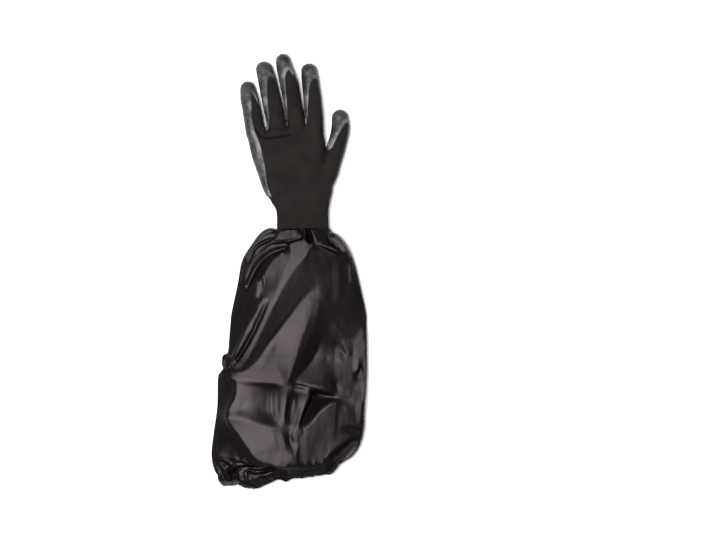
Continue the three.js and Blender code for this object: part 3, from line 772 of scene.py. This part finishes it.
    [(-90, -237.6, 16.8), (-81, -239.8, 19.6), (-70, -242.4, 22.6), (-60, -245.4, 25.6),
     (-50, -248, 28.6), (-42, -250, 31)],
    [(-75, -247.4, 18.4), (-67, -249, 20), (-57, -251.4, 21.6), (-47, -254.6, 23.4),
     (-40, -257.4, 23)],
    # the jagged upright crease
    [(12.2, -200, 33.4), (15, -203, 33), (19, -208.6, 32.8), (11.4, -216.4, 34.2),
     (13.8, -226, 34.2), (11.8, -238, 36.4), (12.6, -254, 36.2)],
    [(17, -202.6, 31.2), (21, -209, 31.8), (13.8, -217.4, 33.4), (16, -227, 33.4),
     (14.2, -239, 34.4), (15, -254, 34)],
    [(24, -212, 32), (24, -228, 32.6), (24, -254, 33)],
    [(34, -198, 29.8), (36, -214, 30), (36, -230, 30), (34, -254, 31.2)],
    # the narrow ridges at the right and the groove between them
    [(62.6, -170, 25), (62.6, -186, 24.8), (60.6, -204, 25.6), (56, -214, 26.6), (52, -226, 27.4),
     (47, -240, 29), (45, -252, 29.6)],
    [(64.8, -172, 23.8), (64.6, -188, 23.6), (62.6, -204, 24.6)],
    [(52, -204, 26.8), (49.6, -213, 27.4), (44.4, -226, 28.6), (40.6, -240, 29.6),
     (40, -252, 29.6)],
    [(76, -178, 21.8), (78, -190, 21.2), (76, -196, 21.6)],
    [(88, -172, 18.6), (87, -186, 18.8), (89, -198, 18.4)],
    [(95, -172, 18.6), (94.6, -186, 18.6), (94, -200, 18)],
    [(70, -202, 23.4), (77, -201.6, 21.8), (86, -203, 19.6), (94, -206, 17)],
    [(72, -205, 22), (79, -206.6, 18.6), (86, -208.6, 16.8), (92, -212, 15.6)],
    [(93, -214.6, 16.6), (84, -213.6, 20.4), (74, -213, 22.8), (64, -214, 24.6)],
    [(91, -216, 17.4), (80, -219.6, 21.8), (69, -226.6, 24.8), (58, -235, 27.2), (50, -245, 29)],
    [(87, -219, 14.6), (78, -224.6, 15), (69.6, -231.4, 15.8), (60, -239, 18), (51, -248, 22)],
    [(83, -224, 14.4), (75, -231, 14.6), (66, -239, 15.2), (56, -248, 17.2)],
    [(87, -230, 13.2), (81, -237, 13.2), (73, -245, 13.6), (63, -252.6, 15.2)],
    # the right shoulder: the seam's broad ridge and its foot, the streaks, and the outer facet
    [(38, 37, 35.4), (44, 35.4, 35), (52, 32, 34.8), (60, 28.6, 34.4), (66, 25.6, 33.6)],
    [(35, 33.6, 36.4), (44, 31.6, 35.7), (52, 28.4, 35.4), (60, 24.8, 34.9), (65.6, 22.2, 34.1)],
    [(38, 30.4, 34.8), (46, 28.4, 33.2), (54, 25.2, 31.6), (62, 21.8, 30), (66, 20.2, 29)],
    [(51.4, 44, 24.8), (57, 35.4, 26.4), (62.6, 29.4, 28.2)],
    [(53, 46, 26.6), (58.4, 38.6, 27.8), (64.4, 30, 29.4), (68, 25, 29.6)],
    [(57, 45, 27), (63, 37.6, 28.2), (69, 28.6, 29.4), (72, 23.4, 29.6)],
    [(60, 46.6, 27), (66.6, 41.2, 28.2), (73.6, 31, 29.4), (78.4, 22.4, 29.8)],
    [(66, 19.4, 28), (72, 19.6, 27.4), (79.4, 18.4, 27)],
    # the left shoulder: the pale outer facet, the black groove inside it, and its far lip
    [(-17.6, 51.6, 26.2), (-25, 52.8, 26.6), (-34.6, 47.4, 26.4), (-45.6, 33.8, 25.4),
     (-52, 24, 24), (-58.4, 12.4, 21.6)],
    [(-20, 49, 26.2), (-28, 46.6, 26.8), (-36, 41, 26.6)],
    [(-11, 49, 28.4), (-20, 44, 28.2), (-27, 41, 27.8), (-33, 38.4, 27.2), (-38.4, 35.6, 26.6),
     (-43, 31, 25.8), (-47.6, 25, 24.4), (-51.4, 17, 23)],
    [(-19, 41.6, 26.6), (-27, 38.2, 24.6), (-33.4, 35.2, 24), (-39, 32, 23.6), (-43.2, 28, 23.2),
     (-46.6, 22.4, 22.8), (-49, 16.6, 22.6), (-52.6, 7, 22)],
    [(-20, 38.6, 29.4), (-27, 36, 28.4), (-33, 32.8, 27.8), (-38.4, 29.4, 27.4), (-42, 25, 27),
     (-44.6, 20.4, 26.8)],
    [(-26, 33.6, 29), (-33.4, 30.2, 28.2), (-38.6, 26.4, 27.6), (-42.2, 21.6, 27)],
    [(-30, 30.2, 27.4), (-36, 26, 26.6), (-40.6, 20.8, 26)],
    # the seam's broad ridge round the left shoulder, and the hollow below it
    [(0, 35, 33.6), (-9, 34, 32.8), (-17, 32.8, 31.8), (-25.6, 30, 30.6), (-31.6, 26, 29.2),
     (-38, 22, 27.4), (-46, 17.4, 24.6), (-52, 8, 23.2), (-56, -2.6, 22), (-60, -13, 20.8)],
    [(0, 32, 34), (-9, 31.4, 33), (-17, 30, 31.9), (-24.4, 27, 30.6), (-29.8, 22.8, 29.4),
     (-35.6, 19.4, 28), (-42.6, 14.4, 26.2), (-47.6, 6, 24.8), (-51.6, -4, 23.6),
     (-55.6, -15, 22.4)],
    [(-2, 28.4, 30.6), (-9, 26.4, 30), (-17, 24.4, 29), (-24, 21, 27.8), (-30.4, 16.6, 26),
     (-36, 10.4, 24), (-41, 3.4, 22.4), (-45.6, -5, 21), (-50, -14, 19.6), (-54, -26, 18.6)],
    # the slack patch to the left of the band
    [(-30.6, -8, 33.2), (-31, -16, 33.2), (-31, -24, 34.4)],
    [(-33, -10, 34.8), (-33.4, -26, 35.6), (-35, -40, 36)],
    [(-35.6, -12, 34.2), (-36, -26, 35)],
    [(-38, -12, 34.4), (-38.6, -26, 35.2)],
    [(-41.4, -12, 33.8), (-42.4, -28, 34), (-43.6, -38, 33), (-42, -48, 32.4)],
    [(-50, -30, 29.6), (-50, -42, 28.6)],
    # the wrist casing: its upper edge, its flat, the groove at its seam
    [(-14, 52.4, 25), (-8, 54.2, 26.4), (6, 55, 27.4), (18, 55, 27.4)],
    [(37, 55, 27), (46, 54.8, 26), (54, 53, 24)],
    [(-15, 46, 31), (-8, 50, 32.2), (2, 52, 32.8), (14, 52, 32.8)],
    [(-20, 39.8, 30.2), (-12, 39, 30.6), (0, 39.8, 31), (10, 41.6, 31.4), (16, 44, 31.6)],
    [(-18, 37.2, 28.6), (-8, 36.8, 29), (2, 37.6, 29.6), (11, 40, 30), (18, 42.6, 30.4)],
    [(3, 34, 37.4), (10, 37, 37.9), (17, 39, 38.4), (21, 40, 38.7)],
    [(50, 51, 25), (51, 45, 26), (52, 39, 27.4), (54, 34.4, 29)],
    # the deep pleat in the casing: its left ridge, which turns under it, a fold inside, and its
    # right ridge
    [(21, 54, 33.4), (20.8, 48, 35), (20, 42.6, 37), (19, 39.6, 38.4), (21.6, 34.8, 39),
     (27.4, 31.4, 39.4), (33, 32, 38.8)],
    [(23.4, 54, 33.8), (23.6, 48, 35.4), (22.8, 42, 37.4), (22.4, 40, 38.4), (24.8, 36.8, 38.9),
     (28.6, 34.4, 39), (31.6, 34.8, 38.4)],
    [(25.4, 53.4, 19), (26.6, 47, 20), (27, 42, 25), (28.6, 38.6, 28), (30.8, 36.8, 31)],
    [(27.8, 54, 32.6), (30.6, 49, 33.8), (32.8, 43.4, 35), (34, 38, 35.8), (34, 34.6, 36.4)],
    [(30.4, 54, 33), (33.4, 49, 34.2), (35.4, 43.4, 35.4), (36.8, 38, 36)],
    [(18.4, 53, 26), (18.8, 48, 27.4)],
    # the gathered hem: its pale patch at the lower left, the folds beside it, the long arc over
    # the elastic, the black hollow under the arc, and the bunch of small gathers below
    [(-91, -241.4, 17.2), (-84, -242, 19), (-77, -243.4, 20.6)],
    [(-91, -246.6, 16.8), (-84, -248.4, 18.4), (-77.4, -249.4, 20)],
    [(-94, -248.6, 12), (-84, -251.6, 14.4), (-77, -255.6, 15.4)],
    [(-90, -250.8, 15.6), (-83, -258, 17.2), (-78.6, -266, 16.4), (-77, -272, 14)],
    [(-92, -256, 11.4), (-87, -265, 11.4), (-83, -273, 10.4)],
    [(-79.4, -257, 14.4), (-75.4, -265, 11), (-73, -272, 9.6)],
    [(-75.4, -260, 16.4), (-71.4, -255.4, 19.4), (-63.6, -252.8, 21.4), (-52.4, -254.6, 23.4),
     (-44, -258, 23)],
    [(-72, -260.6, 13.4), (-62, -259.6, 11), (-50, -260.6, 8.2), (-44, -262, 6.6)],
    [(-70.4, -262, 12), (-68.4, -267, 8.6), (-67, -272, 5.6)],
    [(-56, -263, 15.6), (-55, -269, 15.2), (-54.4, -276, 13)],
    [(-59.6, -264, 11.4), (-59, -271, 11.2)],
    [(-52.6, -265, 12), (-51.8, -271, 12.2)],
    [(-64.4, -268, 13), (-62, -274, 12.6)],
    [(-49, -268, 13.4), (-43, -270, 14), (-42, -277, 12)],
    [(-41, -260.4, 11), (-35, -262.4, 7.6), (-27, -261.6, 4.4), (-20, -259.4, 3.6)],
    [(-41, -268, 14), (-34, -266.6, 15), (-26, -264, 16), (-19, -261.4, 17), (-12, -260, 18),
     (-4, -261, 18.4)],
    [(-36, -270, 13), (-31, -274, 11.6)],
    [(-30, -268, 15), (-26, -273, 13)],
    [(-22, -265, 15), (-20.6, -270, 12.6)],
    [(-17, -262.4, 17.4), (-16.4, -270, 14)],
    [(-14.2, -262, 17), (-13.6, -268, 13.8)],
    [(-11.6, -261.4, 18), (-11, -269, 14.4)],
    [(-9, -262, 17), (-8.8, -270, 13.4)],
    [(-6.2, -262, 18), (-5.8, -271, 14)],
    [(-3.4, -262.4, 17), (-3, -271, 12.8)],
]

GRID_LEFT, GRID_RIGHT, GRID_LOW, GRID_HIGH = -112, 112, -292, 68


def sleeve_outline():
    """The upper layer's outline, from the tables of the sleeve's sections."""
    y, left, right, _, _, puff_left, puff_right, lean, pull = SLEEVE_FINE.T
    left_side = list(zip(left, y + puff_left - lean))
    right_side = list(zip(right, y + puff_right + lean))
    hem = [(-88, -274), (-40, -285), (0, -278), (40, -270)]
    return [(-16.5, 64), *left_side[::6], *hem, *right_side[::-6], (54, 64)]


def neighbours(heights):
    """The mean of each place's four neighbours on the grid."""
    ways = [(1, 0), (-1, 0), (1, 1), (-1, 1)]
    return 0.25 * sum(np.roll(heights, shift, axis) for shift, axis in ways)


def stretched_skin():
    """The folds' heights on a 1 mm grid, spanned between the lines and softened a little."""
    outline = sleeve_outline()
    section_y, side_left, side_right = (column[::-1] for column in SLEEVE_FINE.T[[0, 3, 4]])
    heights = None
    for step in (8, 4, 2, 1):
        across = np.arange(GRID_LEFT, GRID_RIGHT + 1, step)
        along = np.arange(GRID_LOW, GRID_HIGH + 1, step)
        x, y = np.meshgrid(across, along)
        pinned = np.zeros(x.shape)
        weight = np.zeros(x.shape)
        for line in FOLDS:
            samples = along_curve(line, 60 * len(line))
            column = np.rint((samples[:, 0] - GRID_LEFT) / step).astype(int)
            row = np.rint((samples[:, 1] - GRID_LOW) / step).astype(int)
            np.add.at(pinned, (row, column), samples[:, 2])
            np.add.at(weight, (row, column), 1)
        on_line = weight > 0
        left, right = (np.interp(y, section_y, side) for side in (side_left, side_right))
        edge = np.where(x < 0, left, right) + 1
        pinned = np.where(on_line, pinned / np.maximum(weight, 1), edge)
        outside = polygon_depth(x.astype(float), y.astype(float), outline) < 1
        if heights is None:
            heights = edge
        else:
            rows, columns = x.shape
            heights = heights.repeat(2, axis=0).repeat(2, axis=1)[:rows, :columns]
            short = [(0, rows - heights.shape[0]), (0, columns - heights.shape[1])]
            heights = np.pad(heights, short)
        for _ in range(400):
            heights = np.where(outside | on_line, pinned, neighbours(heights))
    for _ in range(2):
        heights = 0.5 * heights + 0.5 * neighbours(heights)
    return heights


fold_heights = stretched_skin()


def fold_at(x, y):
    """The folds' height at places on the table, between the grid's four nearest."""
    column = np.clip(x - GRID_LEFT, 0, fold_heights.shape[1] - 1.001)
    row = np.clip(y - GRID_LOW, 0, fold_heights.shape[0] - 1.001)
    i, j = row.astype(int), column.astype(int)
    u, v = column - j, row - i
    low = fold_heights[i, j] * (1 - u) + fold_heights[i, j + 1] * u
    high = fold_heights[i + 1, j] * (1 - u) + fold_heights[i + 1, j + 1] * u
    return low * (1 - v) + high * v


def section_columns(table, share):
    """The columns of a finely stepped table at shares of its length."""
    steps = np.linspace(0, 1, len(table))
    return [np.interp(share, steps, column) for column in table.T]


# How far the hem's lower layer stands off its mean line, at places across
HEM_X = (-90, -83, -72, -67, -60, -46, -38, -30, -15, -9, -4, 0, 5, 20, 40, 60)
HEM_SHIFT = (3, 2, 1, 2.6, -2.8, -7, -6, -2.8, 2.6, 1, -2.6, -0.6, 1.6, 1.9, 2.8, 3.7)
MOUTH_GAP = 1.6  # between the two layers where the mouth is drawn together


def rounded(s, share):
    """From nothing at a flat tube's edges to one, over a share of the way to its middle."""
    return np.sin(math.pi / 2 * np.minimum(np.abs(s) / share, 1))


def section_point(columns, turn, swell):
    """A place round the collapsed tube: the folded upper layer over a flat lower layer."""
    y, left, right, side_left, side_right, puff_left, puff_right, lean, pull = columns
    c, s = np.cos(turn), np.sin(turn)
    side = np.where(c < 0, side_left, side_right)
    x = (left + right) / 2 + c * ((right - left) / 2 + swell)
    puff = np.where(c < 0, puff_left, puff_right) * np.abs(c) ** np.where(s > 0, 6, 8)
    drawn = np.where(s > 0, pull * np.abs(s) ** 0.7 * smoothstep(-c, -0.35, 0.6), 0)
    at_hem = smoothstep(-y, 246, 274)
    y = y + puff + lean * c + drawn + at_hem * np.interp(x, HEM_X, HEM_SHIFT) * (s <= 0.3)
    edge = rounded(s, 0.2)
    upper = side + (fold_at(x, y) + swell - side) * edge
    lower = side - (side * 1.2 + swell) * np.abs(s) ** 0.45
    at_mouth = smoothstep(-y, 253, 260) * smoothstep(-x, -12, -2)
    lower = np.maximum(lower, (fold_at(x, y) - MOUTH_GAP) * at_mouth * edge)
    return x, y, np.where(s > 0, upper, np.maximum(lower, 0.0))


def gathers(turn, count, seed):
    """Uneven ruffles round the tube, between 0 and 1."""
    wander = 2.2 * np.sin(2 * turn + seed) + 1.6 * np.sin(3 * turn + 2 * seed)
    wander = wander + 1.1 * np.sin(7 * turn)
    wave = 0.5 + 0.5 * np.cos(count * turn + wander)
    small = 0.5 + 0.5 * np.cos(round(count * 1.7) * turn - 1.7 * wander)
    strength = 0.55 + 0.45 * np.sin(4 * turn + 3 * seed) * np.sin(5 * turn + seed)
    return strength * (0.65 * wave**1.6 + 0.35 * small)


def crumple(x, y, size, seed):
    """Sharp ridges of crushed cloth over the table, between 0 and 1, of about one size."""
    total = 0
    for step in range(3):
        bearing = 0.5 + 1.9 * step + seed
        across = (x * math.cos(bearing) + y * math.sin(bearing)) / size
        along = (y * math.cos(bearing) - x * math.sin(bearing)) / size
        total = total + 1 - np.abs(np.sin(2.3 * across + 1.3 * np.sin(1.7 * along + seed) + step))
    return total / 3


def near(x, y, middle_x, middle_y, reach_x, reach_y):
    """One at a place on the table, falling to nothing beyond its reach."""
    return np.exp(-(((x - middle_x) / reach_x) ** 4) - ((y - middle_y) / reach_y) ** 4)


# Small crumples: the middle, the reach each way, how high, how large, seed
CRUMPLES = [
    (-81, -122, 9, 14, 1.2, 4, 2),  # the pucker at the left edge
    (-39, -28, 12, 20, 0.9, 7, 5),  # the slack patch to the left of the band
]

# The ruffles beside each elastic: how high, how many round, seed, how far they run out
WRIST_RUFFLES = (1.4, 14, 1, 16)
ELBOW_RUFFLES = (2.4, 22, 2, 13)
CASING_SEAM_Y = 37


def ruffled(turn, distance, height, count, seed, run):
    """Ruffles that fade with their distance from an elastic."""
    return height * gathers(turn, count, seed) * np.exp(-np.maximum(distance, 0) / run)


def sleeve_place(turn, share):
    """A place on the sleeve, with its ruffles next to both elastics."""
    columns = section_columns(SLEEVE_FINE, share)
    from_wrist = SLEEVE_SECTIONS[0][0] - columns[0]
    from_elbow = columns[0] - SLEEVE_SECTIONS[-1][0]
    swell = ruffled(turn, from_wrist, *WRIST_RUFFLES) + ruffled(turn, from_elbow, *ELBOW_RUFFLES)
    x, y, z = section_point(columns, turn, swell)
    for *reach, height, size, seed in CRUMPLES:
        z = z + height * near(x, y, *reach) * crumple(x, y, size, seed) * (np.sin(turn) > 0)
    tucked = smoothstep(y, CASING_SEAM_Y, CASING_SEAM_Y + 2)  # in under the wrist casing
    tucked = tucked * smoothstep(x, -12, -10) * smoothstep(-x, -53, -50)
    z = z - 2 * tucked * (np.sin(turn) > 0)
    return np.stack([x, y, z], axis=1)


def rolled(name, around, along, place, crowding=0.5):
    """A flat panel rolled into a tube, its seam at the left. Its UV map is its flat pattern."""
    bpy.ops.mesh.primitive_grid_add(x_subdivisions=around, y_subdivisions=along, size=1)
    panel = bpy.context.object
    panel.name = name
    flat, _ = points_of(panel)
    flat = flat * MM
    even = (flat[:, 0] + 0.5) * 2 * math.pi + math.pi
    turn = even + crowding * np.cos(even)  # crowds the points on the upper layer
    set_points(panel, place(turn, 0.5 - flat[:, 1]))
    bpy.ops.object.mode_set(mode="EDIT")
    bpy.ops.mesh.select_all(action="SELECT")
    bpy.ops.mesh.remove_doubles(threshold=1e-6)
    bpy.ops.object.mode_set(mode="OBJECT")
    face_outwards(panel)
    return panel


SLEEVE_WALL = 0.4
sleeve = rolled("sleeve_cloth", around=260, along=180, place=sleeve_place)
add_wall(sleeve, SLEEVE_WALL)


def weave_effect():
    """A woven ground: warp and weft threads, slack ripples, and patches of uneven colour."""
    group, given, result = effect(
        "woven_satin", ["UV", "Place"], ["Wide", "Long"], ["Threads", "Ripples", "Patches"]
    )
    split = fed(group, "ShaderNodeSeparateXYZ", Vector=given.outputs["UV"])
    wide = math_node(group, "MULTIPLY", split.outputs[0], given.outputs["Wide"])
    long = math_node(group, "MULTIPLY", split.outputs[1], given.outputs["Long"])
    warp = math_node(group, "COSINE", math_node(group, "MULTIPLY", wide, 2 * math.pi * 1600))
    skew = math_node(group, "ADD", long, math_node(group, "MULTIPLY", wide, 0.4))
    weft = math_node(group, "COSINE", math_node(group, "MULTIPLY", skew, 2 * math.pi * 900))
    threads = math_node(group, "MULTIPLY", math_node(group, "ADD", warp, weft), 0.5)
    place = given.outputs["Place"]
    slanted = {"Scale": (1, 0.35, 1), "Rotation": (0, 0, -0.6)}
    stretched = fed(group, "ShaderNodeMapping", Vector=place, **slanted).outputs[0]
    ripple = fed(group, "ShaderNodeTexNoise", Vector=stretched, Scale=55, Detail=2)
    cloud = fed(group, "ShaderNodeTexNoise", Vector=place, Scale=12, Detail=3)
    ripples, patchy = ripple.outputs["Fac"], cloud.outputs["Fac"]
    feed(group, result, Threads=threads, Ripples=ripples, Patches=patchy)
    return group


weave = weave_effect()
DARK_SATIN, PALE_SATIN = (0.003, 0.0021, 0.0022, 1), (0.0056, 0.0041, 0.0043, 1)


def satin_material(name, wide, long):
    """Black satin on a panel so wide and long. It shines most where it faces the eye."""
    material, tree, shader = new_material(name)
    facing = fed(tree, "ShaderNodeLayerWeight", Blend=0.5).outputs["Facing"]
    coordinates = tree.nodes.new("ShaderNodeTexCoord").outputs
    places = {"UV": coordinates["UV"], "Place": coordinates["Object"]}
    cloth = place_effect(tree, weave, Wide=wide, Long=long, **places).outputs
    slack = bumped(tree, cloth["Ripples"], 0.002, 0.35)
    feed(
        tree,
        shader,
        Base_Color=mixed(tree, "RGBA", cloth["Patches"], DARK_SATIN, PALE_SATIN),
        Roughness=ranged(tree, cloth["Patches"], 0, 1, 0.37, 0.43),
        Specular_IOR_Level=ranged(tree, facing, 0.1, 0.38, 0.22, 0.03),
        Specular_Tint=(1, 0.85, 0.865, 1),
        Normal=bumped(tree, cloth["Threads"], 0.0001, 0.25, Normal=slack),
    )
    return material


finish_piece(sleeve, satin_material("black_satin", 0.42, 0.34))
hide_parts("sleeve")

# The wrist casing
# The sleeve's satin folded back into a tunnel round an elastic, which draws it into uneven
# ruffles and one deep pleat over the cuff.
CASING_TOP_Y = 55
CASING_MIDDLE_X = 18.7
CASING_REACH_X = 35.5  # from its middle to its sides
CASING_SIDE_Z = 13
CASING_WALL = 0.8


def wrist_casing_place(turn, share):
    """A place round the casing, which lies on the folds above and on the table below."""
    c, s = np.cos(turn), np.sin(turn)
    x = CASING_MIDDLE_X + np.sign(c) * np.abs(c) ** 0.75 * CASING_REACH_X
    ruffles = gathers(turn, 17, 4)
    y = CASING_TOP_Y + (CASING_SEAM_Y - CASING_TOP_Y) * share + (1 - share) * (1.2 * ruffles - 1.4)
    edge = rounded(s, 0.3)
    upper = CASING_SIDE_Z + (fold_at(x, y) + 0.4 + 0.5 * ruffles - CASING_SIDE_Z) * edge
    lower = CASING_SIDE_Z - (12.6 - 1.5 * ruffles) * np.abs(s) ** 0.4
    return np.stack([x, y, np.where(s > 0, upper, lower)], axis=1)


wrist_casing = rolled("wrist_casing_cloth", 300, 22, wrist_casing_place, crowding=0.2)
add_wall(wrist_casing, CASING_WALL)
casing_satin = satin_material("casing_satin", 0.3, 0.03)
finish_piece(wrist_casing, casing_satin)
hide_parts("wrist_casing")

# The elbow casing
# The sleeve's hem folded round the elastic that closes it above the elbow, in close ruffles.
# The upper layer's part of it is drawn back at the left, where the mouth stands open.
ELBOW_SECTIONS = along_curve(
    [
        # the same columns as in the sleeve's sections
        (-261.5, -92, 66, 9, 9, 0, 0, 9, 28),
        (-269, -89.5, 62, 8, 8, 0, 0, 9, 30),
        (-274.5, -84.5, 58, 8, 8, 0, 0, 9, 31),
    ],
    60,
)


def elbow_casing_place(turn, share):
    """A place round the hem, ruffled, and crumpled more the nearer it is to the mouth."""
    columns = section_columns(ELBOW_SECTIONS, share)
    swell = 2.2 * gathers(turn, *ELBOW_RUFFLES[1:3]) * (1 - 0.3 * share)
    swell += 1.2 * np.sin(math.pi * share)
    swell += 1.2 * gathers(turn, 37, 5) * share
    x, y, z = section_point(columns, turn, swell)
    under = np.maximum(-np.sin(turn), 0) ** 0.5
    z = z + under * (0.5 + 0.5 * share) * (0.8 * crumple(x, y, 6, 1) + 0.6 * crumple(x, y, 3, 7))
    z = z + (1 - under) * 1.4 * crumple(x, y, 6, 3) * (0.3 + 0.7 * share)
    y = y + share * (1.6 * gathers(turn, 31, 7) - 0.8)
    return np.stack([x, y, z], axis=1)


HEM_WALL = 1.0
elbow_casing = rolled("elbow_casing_cloth", 420, 18, elbow_casing_place, crowding=0.25)
add_wall(elbow_casing, HEM_WALL)
finish_piece(elbow_casing, casing_satin)
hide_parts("elbow_casing")

# What it lies on, the light and the camera
# A plain white table, one large soft light above and a little to the left, and a camera that
# looks straight down on the glove as the photograph does.
bpy.ops.mesh.primitive_plane_add(size=12, location=(0, 0, -0.0003))
table_top = bpy.context.object
table_top.name = "white_table"
paper, tree, shader = new_material("white_paper")
feed(tree, shader, Base_Color=(0.9, 0.9, 0.9, 1), Roughness=0.9, Specular_IOR_Level=0.1)
table_top.data.materials.append(paper)

bpy.ops.object.light_add(type="AREA", location=(-0.35, 0.05, 1.85), rotation=(0, -0.2, 0))
softbox = bpy.context.object
softbox.name = "softbox"
softbox.data.shape = "SQUARE"
softbox.data.size = 0.75
softbox.data.energy = 60

world = bpy.data.worlds.new("pale_room")
bpy.context.scene.world = world
world.use_nodes = True
room = world.node_tree.nodes["Background"]
feed(world.node_tree, room, Color=(1, 1, 1, 1), Strength=0.09)

SENSOR = 36
SHOWN_WIDTH = 0.9308  # what the picture shows across, 2 m below the camera
bpy.ops.object.camera_add(location=(0.0906, 0.0009, 2.02), rotation=(0, 0, 0))
camera = bpy.context.object
camera.data.sensor_width = SENSOR
camera.data.lens = SENSOR * 2.0 / SHOWN_WIDTH
bpy.context.scene.camera = camera
bpy.context.scene.view_settings.view_transform = "Standard"
